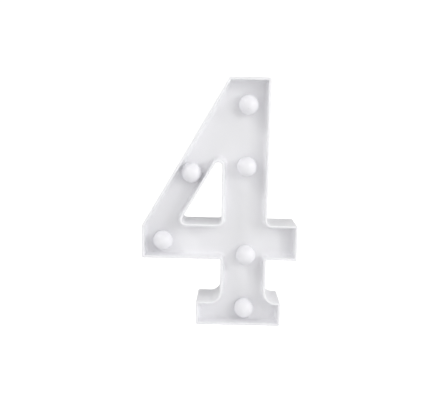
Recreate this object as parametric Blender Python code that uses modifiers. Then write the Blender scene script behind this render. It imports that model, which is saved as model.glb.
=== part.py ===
"""Light-up marquee number four: a white tray-shaped numeral with six battery-powered globe lamps.

The numeral faces -Y and stands on its foot, +Z up. The origin is the middle of the bounding box,
on the surface that the foot stands on. Lengths are metres.
"""
import math

import bmesh
import bpy
from mathutils import Matrix, Vector

# Overall size of the numeral; its width follows from its parts
HEIGHT = 0.220
DEPTH = 0.044

# Outline, seen from the front
STEM_INSET = 0.0700        # from the left tip to the stem's left side
STEM_MARGIN = 0.0033       # from the battery bay's side to the stem's side
ARM_LENGTH = 0.0273        # from the stem's right side to the right tip
TOP_WIDTH = 0.0355
LIMB_WIDTH = 0.0275        # of the sloping limb, square to its sides
BAR_BOTTOM = 0.0602
BAR_HEIGHT = 0.0314
TIP_HEIGHT = 0.0295        # the upright edge at the left tip
FOOT_HEIGHT = 0.0213
FOOT_LEFT_LENGTH = 0.0213  # how far the foot reaches out of the stem
FOOT_RIGHT_LENGTH = 0.0140
CORNER_RADIUS = 0.0016
INNER_CORNER_RADIUS = 0.0015
ARM_FILLET = 0.0040
BRACKET_RADIUS = 0.0096
TIP_RADIUS = 0.0060
COUNTER_RADIUS = 0.0035

# Walls and plates
WALL = 0.0022
DRAFT = 0.0006             # how far the back outline lies inside the front one
RECESS = 0.0145            # from the rim back to the face plate
FACE_THICKNESS = 0.0018
COVER_THICKNESS = 0.0018
LEDGE_WIDTH = 0.0012
LEDGE_THICKNESS = 0.0012
CLEARANCE = 0.0003         # between pieces that touch
OVERRUN = 0.0005           # how far a cutter runs past what it cuts

# Lamps: shares of the stem's width, and of the height of what carries each
TOP_LAMP_SHARES = (0.545, 0.819)       # from the bar's top to the numeral's
UPPER_LAMP_SHARES = (0.537, 0.3965)
BAR_LAMP_SHARES = (0.558, 0.088)       # of the bar
FOOT_LAMP_SHARES = (0.543, 0.641)      # of the foot
LIMB_LAMP_SHARE = 0.6925               # of the counter
TIP_LAMP_SHARE = 0.467                 # of the bar
TIP_LAMP_INSET = 0.01815   # from the left tip to the lamp in the bar
GLOBE_RADIUS = 0.0088
GLOBE_STANDOFF = 0.0052    # the globe's centre, in front of the face plate
GLOBE_WALL = 0.0010
NECK_RADIUS = 0.0053
NECK_BORE = 0.0043
NECK_TAIL = 0.0016         # the neck's tapered end behind its barb
BARB_WIDTH = 0.0005
BARB_HEIGHT = 0.0008
HOLDER_FLANGE_RADIUS = 0.0055
HOLDER_FLANGE_THICKNESS = 0.0010
DIODE_RADIUS = 0.0025
DIODE_FLANGE_RADIUS = 0.0034
DIODE_FLANGE_THICKNESS = 0.0010
DIODE_LENGTH = 0.0086
LEAD_SPACING = 0.00254
LEAD_WIDTH = 0.0005
LEAD_LENGTH = 0.0025

# Screws, their posts on the face plate and their cups in the back cover
SCREW_RADIUS = 0.0012
SCREW_LENGTH = 0.0100
SCREW_TIP = 0.0016
SCREW_HEAD_RADIUS = 0.0023
SCREW_HEAD_HEIGHT = 0.0014
SCREW_HEAD_BEVEL = 0.0005
SCREW_SLOT_LENGTH = 0.0026
SCREW_SLOT_WIDTH = 0.0006
SCREW_SLOT_DEPTH = 0.0008
POST_RADIUS = 0.0030
CUP_RADIUS = 0.0040
CUP_DEPTH = 0.0020
CUP_FLOOR = 0.0016
POST_SIDE = 0.0048         # from a wall's inner face to a post's axis
POST_TOP_ASIDE = 0.0090    # from the top to the top post's axis
LIMB_POST_SHARE = 0.30     # of the counter's height

# Cells and their bay in the back cover
CELL_RADIUS = 0.00715
CELL_LENGTH = 0.0505
CELL_EDGE = 0.0006
NUB_RADIUS = 0.00275
NUB_HEIGHT = 0.0010
BAY_WALL = 0.0012
BAY_FLOOR = 0.0012
RIB_WIDTH = 0.0014
RIB_HEIGHT = 0.0030
DOOR_LEDGE = 0.0008        # how far the door overlaps the bay's wall
DOOR_CORNER = 0.0015
DOOR_TONGUE_WIDTH = 0.0080
DOOR_TONGUE_LENGTH = 0.0026
DOOR_TONGUE_THICKNESS = 0.0010
GRIP_WIDTH = 0.0140
GRIP_HEIGHT = 0.0008
GRIP_DEPTH = 0.0005
GRIP_PITCH = 0.0020
GRIP_COUNT = 4
GRIP_INSET = 0.0060        # from the door's top edge to its first groove
THUMB_RADIUS = 0.0060
THUMB_DEPTH = 0.0009
CONTACT_THICKNESS = 0.0004
CONTACT_SIZE = 0.0090
TAB_WIDTH = 0.0025
TAB_REACH = 0.0021         # how far a tab stands out below the bay's floor
SPRING_LENGTH = 0.0040
SPRING_RADIUS = 0.0040
SPRING_TAPER = 0.0012
SPRING_WIRE = 0.0003       # the wire's radius
SPRING_TURNS = 3
POINTS_A_TURN = 9

# Slide switch and its window in the back cover
SWITCH_TRAVEL = 0.0025
SWITCH_BODY_WIDTH = 0.0100
SWITCH_BODY_HEIGHT = 0.0054
SWITCH_BODY_DEPTH = 0.0042
SWITCH_PLATE_WIDTH = 0.0196
SWITCH_PLATE_THICKNESS = 0.0006
SWITCH_POST_SPACING = 0.0148
SWITCH_POST_RADIUS = 0.0022
SWITCH_POST_HEIGHT = 0.0030
SWITCH_SCREW_RADIUS = 0.0008
SWITCH_SCREW_LENGTH = 0.0034
SWITCH_SCREW_HEAD_RADIUS = 0.0016
SWITCH_SCREW_HEAD_HEIGHT = 0.0010
TERMINAL_SPACING = 0.0020
TERMINAL_WIDTH = 0.0008
TERMINAL_THICKNESS = 0.0004
TERMINAL_LENGTH = 0.0030
FOOTING_WIDTH = 0.0032     # the slider's foot inside the switch
FOOTING_HEIGHT = 0.0018
FOOTING_DEPTH = 0.0013
KNOB_WIDTH = 0.0030
KNOB_HEIGHT = 0.0022
KNOB_SETBACK = 0.0003      # the knob's end, inside the back face
KNOB_GROOVE_WIDTH = 0.0005
KNOB_GROOVE_DEPTH = 0.0004

# Keyhole slot
KEYHOLE_HEAD_RADIUS = 0.0042
KEYHOLE_SLOT_RADIUS = 0.0021
KEYHOLE_RISE = 0.0085

# Wires
WIRE_RADIUS = 0.00055
TWIN_RADIUS = 0.0007
WIRE_SAG = 0.0012
POINTS_A_SPAN = 3

# Fineness of curved faces
ARC_STEP = math.radians(18)
LAMP_STEPS = 16
GLOBE_BANDS = 6
DIODE_BANDS = 3
SMALL_STEPS = 12
CELL_STEPS = 16
SHARP_ANGLE = math.radians(35)
MERGE = 0.00001

# The bay holds two cells side by side, a contact at each end and a spring for each cell
BAY_INNER_WIDTH = 4 * CELL_RADIUS + 3 * CLEARANCE
BAY_INNER_LENGTH = CELL_LENGTH + SPRING_LENGTH + 2 * CONTACT_THICKNESS + 5 * CLEARANCE
DOOR_WIDTH = BAY_INNER_WIDTH + 2 * DOOR_LEDGE
DOOR_LENGTH = BAY_INNER_LENGTH + 2 * DOOR_LEDGE
BAY_OUTER_WIDTH = DOOR_WIDTH + 2 * CLEARANCE + 2 * BAY_WALL
BAY_OUTER_LENGTH = DOOR_LENGTH + 2 * CLEARANCE + 2 * BAY_WALL

# The stem is as wide as the bay behind it needs
STEM_WIDTH = BAY_OUTER_WIDTH + 2 * STEM_MARGIN
WIDTH = STEM_INSET + STEM_WIDTH + ARM_LENGTH
LEFT = -WIDTH / 2
RIGHT = WIDTH / 2
STEM_LEFT = LEFT + STEM_INSET
STEM_RIGHT = STEM_LEFT + STEM_WIDTH
STEM_MIDDLE = (STEM_LEFT + STEM_RIGHT) / 2
BAR_TOP = BAR_BOTTOM + BAR_HEIGHT
FOOT_LEFT = STEM_LEFT - FOOT_LEFT_LENGTH
FOOT_RIGHT = STEM_RIGHT + FOOT_RIGHT_LENGTH

# The sloping limb, between its outer side and the counter's side, which are parallel
TIP_TOP = BAR_BOTTOM + TIP_HEIGHT
LIMB_RISE = HEIGHT - TIP_TOP
LIMB_RUN = STEM_RIGHT - TOP_WIDTH - LEFT
LIMB_ACROSS = LIMB_WIDTH * math.hypot(LIMB_RISE, LIMB_RUN) / LIMB_RISE


def limb_x(z, across):
    """The limb's x at a height, at a level distance from its outer side."""
    return LEFT + (z - TIP_TOP) * LIMB_RUN / LIMB_RISE + across


COUNTER_LEFT = limb_x(BAR_TOP, LIMB_ACROSS)
COUNTER_TOP = BAR_TOP + (STEM_LEFT - COUNTER_LEFT) * LIMB_RISE / LIMB_RUN

# Planes from the front to the back
FRONT = -DEPTH / 2
BACK = DEPTH / 2
FACE_FRONT = FRONT + RECESS
FACE_BACK = FACE_FRONT + FACE_THICKNESS
COVER_FRONT = BACK - COVER_THICKNESS
CUP_FRONT = COVER_FRONT - CUP_DEPTH
POST_END = CUP_FRONT - CLEARANCE
CUP_BASE = CUP_FRONT + CUP_FLOOR
NECK_LENGTH = FACE_THICKNESS + CLEARANCE + BARB_HEIGHT + NECK_TAIL


def bracket_radius(length):
    """The round where a foot meets the stem, within what the foot's length and walls leave."""
    return min(BRACKET_RADIUS, length - 2 * WALL)


# The floor is the outline's first side, and the counter has no such side
FLOOR_SIDE = 0
NUMERAL_CORNERS = (
    (FOOT_LEFT, 0, CORNER_RADIUS),
    (FOOT_RIGHT, 0, CORNER_RADIUS),
    (FOOT_RIGHT, FOOT_HEIGHT, CORNER_RADIUS),
    (STEM_RIGHT, FOOT_HEIGHT, bracket_radius(FOOT_RIGHT_LENGTH)),
    (STEM_RIGHT, BAR_BOTTOM, INNER_CORNER_RADIUS),
    (RIGHT, BAR_BOTTOM, CORNER_RADIUS),
    (RIGHT, BAR_TOP, CORNER_RADIUS),
    (STEM_RIGHT, BAR_TOP, ARM_FILLET),
    (STEM_RIGHT, HEIGHT, CORNER_RADIUS),
    (STEM_RIGHT - TOP_WIDTH, HEIGHT, CORNER_RADIUS),
    (LEFT, TIP_TOP, TIP_RADIUS),
    (LEFT, BAR_BOTTOM, CORNER_RADIUS),
    (STEM_LEFT, BAR_BOTTOM, INNER_CORNER_RADIUS),
    (STEM_LEFT, FOOT_HEIGHT, bracket_radius(FOOT_LEFT_LENGTH)),
    (FOOT_LEFT, FOOT_HEIGHT, CORNER_RADIUS),
)
COUNTER_CORNERS = (
    (COUNTER_LEFT, BAR_TOP, COUNTER_RADIUS),
    (STEM_LEFT, BAR_TOP, COUNTER_RADIUS),
    (STEM_LEFT, COUNTER_TOP, COUNTER_RADIUS),
)


# Scene, collections and materials

def clear_scene():
    for item in list(bpy.data.objects):
        bpy.data.objects.remove(item, do_unlink=True)


def new_collection(name):
    collection = bpy.data.collections.new(name)
    bpy.context.scene.collection.children.link(collection)
    return collection


clear_scene()
PARTS = new_collection("marquee_number_four")
CUTTERS = new_collection("cutters")


def new_material(name, colour, roughness, metallic=0.0):
    material = bpy.data.materials.new(name)
    material.use_nodes = True
    shader = material.node_tree.nodes["Principled BSDF"]
    shader.inputs["Base Color"].default_value = (*colour, 1.0)
    shader.inputs["Roughness"].default_value = roughness
    shader.inputs["Metallic"].default_value = metallic
    return material


SHELL_WHITE = new_material("shell_white", (0.86, 0.86, 0.88), 0.35)
COVER_WHITE = new_material("cover_white", (0.84, 0.84, 0.85), 0.45)
GLOBE_WHITE = new_material("globe_white", (0.93, 0.92, 0.90), 0.30)
HOLDER_WHITE = new_material("holder_white", (0.80, 0.80, 0.78), 0.50)
DIODE_CLEAR = new_material("diode_clear", (0.90, 0.88, 0.74), 0.10)
STEEL = new_material("steel", (0.72, 0.72, 0.74), 0.30, 1.0)
CELL_SLEEVE = new_material("cell_sleeve", (0.16, 0.17, 0.19), 0.35)
SWITCH_BLACK = new_material("switch_black", (0.03, 0.03, 0.03), 0.45)
WIRE_RED = new_material("wire_red", (0.55, 0.03, 0.03), 0.45)
WIRE_BLACK = new_material("wire_black", (0.03, 0.03, 0.03), 0.45)
WIRE_CLEAR = new_material("wire_clear", (0.80, 0.80, 0.76), 0.40)


# Making and joining solids

def add_object(name, mesh, material=None):
    """Put a mesh in the scene: among the parts with a material, among the cutters without one."""
    item = bpy.data.objects.new(name, mesh)
    if material is None:
        CUTTERS.objects.link(item)
        item.hide_render = True
        item.display_type = 'WIRE'
    else:
        PARTS.objects.link(item)
        mesh.materials.clear()
        mesh.materials.append(material)
    return item


def shade(mesh):
    mesh.shade_smooth()
    mesh.set_sharp_from_angle(angle=SHARP_ANGLE)


def mesh_of(shape, name):
    """A bmesh as a mesh with outward faces."""
    bmesh.ops.recalc_face_normals(shape, faces=shape.faces[:])
    mesh = bpy.data.meshes.new(name)
    shape.to_mesh(mesh)
    shape.free()
    return mesh


def baked(item, name):
    """The evaluated mesh of an object, welded, and the object removed."""
    bpy.context.view_layer.update()
    graph = bpy.context.evaluated_depsgraph_get()
    mesh = bpy.data.meshes.new_from_object(item.evaluated_get(graph))
    shape = bmesh.new()
    shape.from_mesh(mesh)
    bmesh.ops.transform(shape, matrix=item.matrix_world, verts=shape.verts[:])
    bmesh.ops.remove_doubles(shape, verts=shape.verts[:], dist=MERGE)
    bpy.data.objects.remove(item, do_unlink=True)
    return mesh_of(shape, name)


def box(name, low, high, material=None):
    low, high = Vector(low), Vector(high)
    shape = bmesh.new()
    bmesh.ops.create_cube(shape, size=1.0)
    scale = Matrix.Diagonal((*(high - low), 1.0))
    bmesh.ops.transform(shape, matrix=Matrix.Translation((low + high) / 2) @ scale, verts=shape.verts[:])
    return add_object(name, mesh_of(shape, name), material)


def rod(name, x, z, radius, front, back, steps=LAMP_STEPS, material=None):
    """A cylinder along Y."""
    shape = bmesh.new()
    bmesh.ops.create_cone(
        shape, cap_ends=True, segments=steps, radius1=radius, radius2=radius, depth=back - front)
    turn = Matrix.Rotation(math.pi / 2, 4, 'X')
    place = Matrix.Translation((x, (front + back) / 2, z))
    bmesh.ops.transform(shape, matrix=place @ turn, verts=shape.verts[:])
    return add_object(name, mesh_of(shape, name), material)


def flat_solid(name, loops, front, back, material=None):
    """A flat outline with holes, filled as a 2D curve and extruded along Y."""
    curve = bpy.data.curves.new(name, 'CURVE')
    curve.dimensions = '2D'
    curve.fill_mode = 'BOTH'
    curve.extrude = (back - front) / 2
    for loop in loops:
        spline = curve.splines.new('POLY')
        spline.points.add(len(loop) - 1)
        for point, place in zip(spline.points, loop):
            point.co = (place[0], place[1], 0, 1)
        spline.use_cyclic_u = True
    item = bpy.data.objects.new(name, curve)
    item.rotation_euler = (math.pi / 2, 0, 0)
    item.location = (0, (front + back) / 2, 0)
    PARTS.objects.link(item)
    mesh = even_caps(baked(item, name))
    return add_object(name, mesh, material)


def even_caps(mesh):
    """Turn the flat ends' triangles so that none is a sliver between points in one line."""
    shape = bmesh.new()
    shape.from_mesh(mesh)
    caps = [face for face in shape.faces if len(face.verts) == 3]
    edges = {edge for face in caps for edge in face.edges}
    inner = [edge for edge in edges if all(len(face.verts) == 3 for face in edge.link_faces)]
    bmesh.ops.beautify_fill(shape, faces=caps, edges=inner)
    return mesh_of(shape, mesh.name)


def turned_mesh(name, profile, steps, closed=False):
    """A profile of (radius, height) points, down its outer side, turned about Z."""
    mesh = bpy.data.meshes.new(name)
    places = [(radius, 0, height) for radius, height in profile]
    edges = [(index, index + 1) for index in range(len(places) - 1)]
    if closed:
        edges.append((len(places) - 1, 0))
    mesh.from_pydata(places, edges, [])
    item = bpy.data.objects.new(name, mesh)
    PARTS.objects.link(item)
    screw = item.modifiers.new("turn", 'SCREW')
    screw.axis = 'Z'
    screw.steps = steps
    screw.render_steps = steps
    screw.use_merge_vertices = True
    screw.merge_threshold = MERGE
    mesh = baked(item, name)
    shade(mesh)
    return mesh


def wire_mesh(name, points, radius):
    """A round wire along points, with flat ends."""
    curve = bpy.data.curves.new(name, 'CURVE')
    curve.dimensions = '3D'
    curve.bevel_depth = radius
    curve.bevel_resolution = 2
    curve.use_fill_caps = True
    spline = curve.splines.new('POLY')
    spline.points.add(len(points) - 1)
    for point, place in zip(spline.points, points):
        point.co = (*place, 1)
    item = bpy.data.objects.new(name, curve)
    PARTS.objects.link(item)
    mesh = baked(item, name)
    shade(mesh)
    return mesh


def combine(piece, tools, operation):
    for tool in tools:
        modifier = piece.modifiers.new(tool.name, 'BOOLEAN')
        modifier.operation = operation
        modifier.solver = 'EXACT'
        modifier.object = tool


def cut(piece, *tools):
    combine(piece, tools, 'DIFFERENCE')


def join(piece, *tools):
    combine(piece, tools, 'UNION')


def fused(piece, *tools):
    """The piece's own mesh with its tools' work in it, smooth where it is round; both are removed."""
    mesh = baked(piece, piece.name)
    for tool in tools:
        bpy.data.objects.remove(tool, do_unlink=True)
    shade(mesh)
    return mesh


# Outlines

def side_normal(start, end):
    """The inward normal of a side of a loop that runs counter-clockwise."""
    along = (end - start).normalized()
    return Vector((-along.y, along.x))


def crossing(point_a, along_a, point_b, along_b):
    """Where two lines meet."""
    offset = point_b - point_a
    share = (offset.x * along_b.y - offset.y * along_b.x) / (along_a.x * along_b.y - along_a.y * along_b.x)
    return point_a + along_a * share


def moved_corners(corners, inset, draft, floor_side=None):
    """Corners of an outline with its sides moved inwards, and their radii. A floor side takes no draft."""
    places = [Vector(corner[:2]) for corner in corners]
    count = len(places)
    lines = []
    for index in range(count):
        start, end = places[index], places[(index + 1) % count]
        shift = inset if index == floor_side else inset + draft
        lines.append((start + side_normal(start, end) * shift, (end - start).normalized()))
    moved = []
    for index in range(count):
        before, after = lines[index - 1], lines[index]
        turn = before[1].x * after[1].y - before[1].y * after[1].x
        radius = corners[index][2]
        radius = max(radius - inset, 0) if turn > 0 else max(radius + inset, 0)
        moved.append((crossing(*before, *after), radius, before[1], after[1]))
    return moved


def rounded_loop(corners, inset=0, draft=0, floor_side=None):
    """Points round an outline, its corners as arcs. Its loops at all insets have as many points."""
    points = []
    for corner, radius, before, after in moved_corners(corners, inset, draft, floor_side):
        turn = before.angle(after)
        steps = max(1, math.ceil(turn / ARC_STEP))
        reach = max(radius, MERGE) * math.tan(turn / 2)
        bisector = (after - before).normalized()
        centre = corner + bisector * max(radius, MERGE) / math.cos(turn / 2)
        start = corner - before * reach - centre
        sign = 1 if before.x * after.y - before.y * after.x > 0 else -1
        for step in range(steps + 1):
            angle = sign * turn * step / steps
            points.append(centre + Matrix.Rotation(angle, 2) @ start)
    return points


def circle(x, z, radius, steps=LAMP_STEPS):
    angles = [math.tau * step / steps for step in range(steps)]
    return [Vector((x + radius * math.cos(angle), z + radius * math.sin(angle))) for angle in angles]


def draft_at(y):
    return DRAFT * (y - FRONT) / DEPTH


def numeral_loop(inset, y):
    return rounded_loop(NUMERAL_CORNERS, inset, draft_at(y), FLOOR_SIDE)


def counter_loop(outset, y):
    """The counter's outline, moved out from its open middle into the numeral."""
    return rounded_loop(COUNTER_CORNERS, -outset, -draft_at(y))


def wall_band(name, loop_at, sides):
    """A wall from the rim to the back, with its draft: four loops, skinned in a closed ring."""
    shape = bmesh.new()
    outer, inner = sides
    sections = ((outer, FRONT), (outer, BACK), (inner, BACK), (inner, FRONT))
    rings = []
    for inset, y in sections:
        rings.append([shape.verts.new((place.x, y, place.y)) for place in loop_at(inset, y)])
    count = len(rings[0])
    for index, ring in enumerate(rings):
        following = rings[(index + 1) % len(rings)]
        for step in range(count):
            ahead = (step + 1) % count
            shape.faces.new((ring[step], ring[ahead], following[ahead], following[step]))
    return add_object(name, mesh_of(shape, name))


# Places of the lamps, screws, cells, switch and keyhole

def mid_limb(z):
    """A place on the sloping limb's middle line."""
    return (limb_x(z, LIMB_ACROSS / 2), z)


def beside_counter(share):
    """The height at a share of the counter's height."""
    return BAR_TOP + share * (COUNTER_TOP - BAR_TOP)


def stem_lamp(shares, low, high):
    """A lamp across the stem and up between two heights."""
    across, up = shares
    return (STEM_LEFT + across * STEM_WIDTH, low + up * (high - low))


TOP_LAMP = stem_lamp(TOP_LAMP_SHARES, BAR_TOP, HEIGHT)
UPPER_LAMP = stem_lamp(UPPER_LAMP_SHARES, BAR_TOP, HEIGHT)
BAR_LAMP = stem_lamp(BAR_LAMP_SHARES, BAR_BOTTOM, BAR_TOP)
FOOT_LAMP = stem_lamp(FOOT_LAMP_SHARES, 0, FOOT_HEIGHT)
LIMB_LAMP = mid_limb(beside_counter(LIMB_LAMP_SHARE))
TIP_LAMP = (LEFT + TIP_LAMP_INSET, BAR_BOTTOM + TIP_LAMP_SHARE * BAR_HEIGHT)
LAMP_PLACES = (TOP_LAMP, UPPER_LAMP, BAR_LAMP, FOOT_LAMP, LIMB_LAMP, TIP_LAMP)


def post_places():
    return [
        (STEM_RIGHT - TOP_WIDTH + POST_SIDE + WALL, HEIGHT - POST_TOP_ASIDE),
        (STEM_RIGHT - WALL - POST_SIDE, (TOP_LAMP[1] + UPPER_LAMP[1]) / 2),
        mid_limb(beside_counter(LIMB_POST_SHARE)),
        (LEFT + WALL + POST_SIDE, BAR_BOTTOM + WALL + POST_SIDE),
        (RIGHT - WALL - POST_SIDE, (BAR_BOTTOM + BAR_TOP) / 2),
        (FOOT_LEFT + WALL + POST_SIDE, FOOT_HEIGHT / 2),
        (FOOT_RIGHT - WALL - POST_SIDE, FOOT_HEIGHT / 2),
    ]


POST_PLACES = post_places()
BAY_MIDDLE = (BAR_LAMP[1] + UPPER_LAMP[1]) / 2
SWITCH_HEIGHT = (BAR_LAMP[1] + FOOT_LAMP[1]) / 2
KEYHOLE_HEIGHT = (TOP_LAMP[1] + UPPER_LAMP[1]) / 2

# The bay's ends and depth, and the cells in it
BAY_LOW = BAY_MIDDLE - BAY_INNER_LENGTH / 2
BAY_HIGH = BAY_MIDDLE + BAY_INNER_LENGTH / 2
CELL_Y = COVER_FRONT - CLEARANCE - CELL_RADIUS
BAY_BASE = CELL_Y - CELL_RADIUS - CLEARANCE
BAY_FRONT = BAY_BASE - BAY_FLOOR
CELL_SIDE = CELL_RADIUS + CLEARANCE / 2
TAB_END = BAY_FRONT - TAB_REACH

# The switch stands on two posts behind its window
SWITCH_PLATE_BACK = COVER_FRONT - SWITCH_POST_HEIGHT - CLEARANCE
SWITCH_PLATE_FRONT = SWITCH_PLATE_BACK - SWITCH_PLATE_THICKNESS
SWITCH_BODY_FRONT = SWITCH_PLATE_FRONT - SWITCH_BODY_DEPTH
TERMINAL_END = SWITCH_BODY_FRONT - TERMINAL_LENGTH
SLIDER_REST = STEM_MIDDLE - SWITCH_TRAVEL / 2

# The wires run level with the middle of the lamps' leads
LEADS_START = FACE_FRONT + NECK_LENGTH + HOLDER_FLANGE_THICKNESS + DIODE_FLANGE_THICKNESS + 2 * CLEARANCE
WIRE_Y = LEADS_START + LEAD_LENGTH / 2


# Shell: side wall, counter wall and face plate

def make_walls():
    """Both walls, each with the ledge that the face plate rests on."""
    front = FACE_BACK + CLEARANCE
    back = front + LEDGE_THICKNESS
    side_sides, counter_sides = (0, WALL), (WALL, 0)
    for name, loop_at, sides in (
            ("side_wall", numeral_loop, side_sides), ("counter_wall", counter_loop, counter_sides)):
        wall = wall_band(name, loop_at, sides)
        loops = (loop_at(WALL / 2, back), loop_at(WALL + LEDGE_WIDTH, back))
        ledge = flat_solid("ledge", loops, front, back)
        join(wall, ledge)
        add_object(name, fused(wall, ledge), SHELL_WHITE)


def make_face_plate():
    inset = WALL + CLEARANCE
    holes = [circle(x, z, NECK_RADIUS + CLEARANCE) for x, z in LAMP_PLACES]
    loops = [numeral_loop(inset, FACE_BACK), counter_loop(inset, FACE_BACK), *holes]
    plate = flat_solid("face_plate", loops, FACE_FRONT, FACE_BACK, SHELL_WHITE)
    posts = []
    bores = []
    for number, (x, z) in enumerate(POST_PLACES, 1):
        root = FACE_BACK - FACE_THICKNESS / 2
        posts.append(rod(f"post_{number}", x, z, POST_RADIUS, root, POST_END, SMALL_STEPS))
        depth = POST_END - SCREW_LENGTH
        end = POST_END + OVERRUN
        bores.append(rod(f"post_bore_{number}", x, z, SCREW_RADIUS + CLEARANCE, depth, end, SMALL_STEPS))
    join(plate, *posts)
    cut(plate, *bores)


# Lamps: a hollow globe that snaps into the face plate, a holder plugged into it, and a diode

def globe_profile():
    """Down the outside from the pole, round the neck and its barb, and up the inside."""
    end = math.acos((CLEARANCE - GLOBE_STANDOFF) / GLOBE_RADIUS)
    outside = []
    for band in range(GLOBE_BANDS + 1):
        angle = end * band / GLOBE_BANDS
        height = GLOBE_STANDOFF + GLOBE_RADIUS * math.cos(angle)
        outside.append((GLOBE_RADIUS * math.sin(angle), height))
    barb = -FACE_THICKNESS - CLEARANCE
    neck = [
        (NECK_RADIUS, CLEARANCE),
        (NECK_RADIUS, barb),
        (NECK_RADIUS + BARB_WIDTH, barb),
        (NECK_RADIUS + BARB_WIDTH, barb - BARB_HEIGHT),
        (NECK_RADIUS - BARB_WIDTH, -NECK_LENGTH),
        (NECK_BORE, -NECK_LENGTH),
        (NECK_BORE, CLEARANCE + GLOBE_WALL),
    ]
    hollow = GLOBE_RADIUS - GLOBE_WALL
    start = math.acos((CLEARANCE + GLOBE_WALL - GLOBE_STANDOFF) / hollow)
    inside = []
    bands = GLOBE_BANDS - 2
    for band in range(bands, -1, -1):
        angle = start * band / bands
        inside.append((hollow * math.sin(angle), GLOBE_STANDOFF + hollow * math.cos(angle)))
    return [*outside, *neck, *inside]


def holder_profile():
    tube = NECK_BORE - CLEARANCE
    bore = DIODE_RADIUS + CLEARANCE
    flange = -NECK_LENGTH - CLEARANCE
    return [
        (tube, 0),
        (tube, flange),
        (HOLDER_FLANGE_RADIUS, flange),
        (HOLDER_FLANGE_RADIUS, flange - HOLDER_FLANGE_THICKNESS),
        (bore, flange - HOLDER_FLANGE_THICKNESS),
        (bore, 0),
    ]


def diode_mesh():
    """A clear round-nosed diode with its flange and two cut leads."""
    flange = -NECK_LENGTH - HOLDER_FLANGE_THICKNESS - 2 * CLEARANCE
    base = flange - DIODE_FLANGE_THICKNESS
    shoulder = base + DIODE_LENGTH - DIODE_RADIUS
    nose = [math.pi / 2 * band / DIODE_BANDS for band in range(DIODE_BANDS)]
    profile = [(DIODE_RADIUS * math.sin(angle), shoulder + DIODE_RADIUS * math.cos(angle)) for angle in nose]
    profile += [
        (DIODE_RADIUS, shoulder),
        (DIODE_RADIUS, flange),
        (DIODE_FLANGE_RADIUS, flange),
        (DIODE_FLANGE_RADIUS, base),
        (0, base),
    ]
    diode = bpy.data.objects.new("diode", turned_mesh("diode", profile, SMALL_STEPS))
    PARTS.objects.link(diode)
    half = LEAD_WIDTH / 2
    leads = []
    for side in (-1, 1):
        x = side * LEAD_SPACING / 2
        low = (x - half, -half, base - LEAD_LENGTH)
        high = (x + half, half, base + DIODE_FLANGE_THICKNESS / 2)
        leads.append(box("lead", low, high))
    join(diode, *leads)
    return fused(diode, *leads)


def make_lamps():
    globe = turned_mesh("globe", globe_profile(), LAMP_STEPS)
    holder = turned_mesh("holder", holder_profile(), SMALL_STEPS, closed=True)
    diode = diode_mesh()
    for number, (x, z) in enumerate(LAMP_PLACES, 1):
        pieces = (
            add_object(f"bulb_globe_{number}", globe, GLOBE_WHITE),
            add_object(f"led_holder_{number}", holder, HOLDER_WHITE),
            add_object(f"led_{number}", diode, DIODE_CLEAR),
        )
        for piece in pieces:
            piece.location = (x, FACE_FRONT, z)
            piece.rotation_euler = (math.pi / 2, 0, 0)


# Back cover with its battery bay, screw cups, switch window and keyhole

def make_back_cover():
    inset = WALL + CLEARANCE
    loops = (numeral_loop(inset, BACK), counter_loop(inset, BACK))
    cover = flat_solid("back_cover", loops, COVER_FRONT, BACK, COVER_WHITE)
    half_width, half_length = BAY_OUTER_WIDTH / 2, BAY_OUTER_LENGTH / 2
    bay_back = COVER_FRONT + COVER_THICKNESS / 2
    additions = [box(
        "bay_block",
        (STEM_MIDDLE - half_width, BAY_FRONT, BAY_MIDDLE - half_length),
        (STEM_MIDDLE + half_width, bay_back, BAY_MIDDLE + half_length))]
    cuts = [pocket_cutter(), door_recess_cutter(), thumb_cutter()]
    for number, (x, z) in enumerate(POST_PLACES, 1):
        additions.append(rod(f"cup_{number}", x, z, CUP_RADIUS, CUP_FRONT, bay_back, LAMP_STEPS))
        end = BACK + OVERRUN
        cuts.append(rod(
            f"counterbore_{number}", x, z, SCREW_HEAD_RADIUS + CLEARANCE, CUP_BASE, end, LAMP_STEPS))
        cuts.append(rod(
            f"screw_hole_{number}", x, z, SCREW_RADIUS + CLEARANCE, CUP_FRONT - OVERRUN, end, SMALL_STEPS))
    for number, x in enumerate(switch_post_sides(), 1):
        front = COVER_FRONT - SWITCH_POST_HEIGHT
        additions.append(rod(
            f"switch_post_{number}", x, SWITCH_HEIGHT, SWITCH_POST_RADIUS, front, bay_back, SMALL_STEPS))
        cuts.append(rod(
            f"switch_post_bore_{number}", x, SWITCH_HEIGHT, SWITCH_SCREW_RADIUS + CLEARANCE,
            front - OVERRUN, COVER_FRONT, SMALL_STEPS))
    cuts += tab_slot_cutters() + keyhole_cutters() + [switch_window_cutter()]
    join(cover, *additions)
    cut(cover, *cuts)
    join(cover, bay_rib())


def pocket_cutter():
    half_width, half_length = BAY_INNER_WIDTH / 2, BAY_INNER_LENGTH / 2
    return box(
        "bay_pocket",
        (STEM_MIDDLE - half_width, BAY_BASE, BAY_MIDDLE - half_length),
        (STEM_MIDDLE + half_width, BACK + OVERRUN, BAY_MIDDLE + half_length))


def door_corners(margin):
    half_width = DOOR_WIDTH / 2 + margin
    half_length = DOOR_LENGTH / 2 + margin
    radius = DOOR_CORNER + margin
    return (
        (STEM_MIDDLE - half_width, BAY_MIDDLE - half_length, radius),
        (STEM_MIDDLE + half_width, BAY_MIDDLE - half_length, radius),
        (STEM_MIDDLE + half_width, BAY_MIDDLE + half_length, radius),
        (STEM_MIDDLE - half_width, BAY_MIDDLE + half_length, radius),
    )


def door_recess_cutter():
    loop = rounded_loop(door_corners(CLEARANCE))
    return flat_solid("door_recess", (loop,), COVER_FRONT - CLEARANCE, BACK + OVERRUN)


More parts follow.
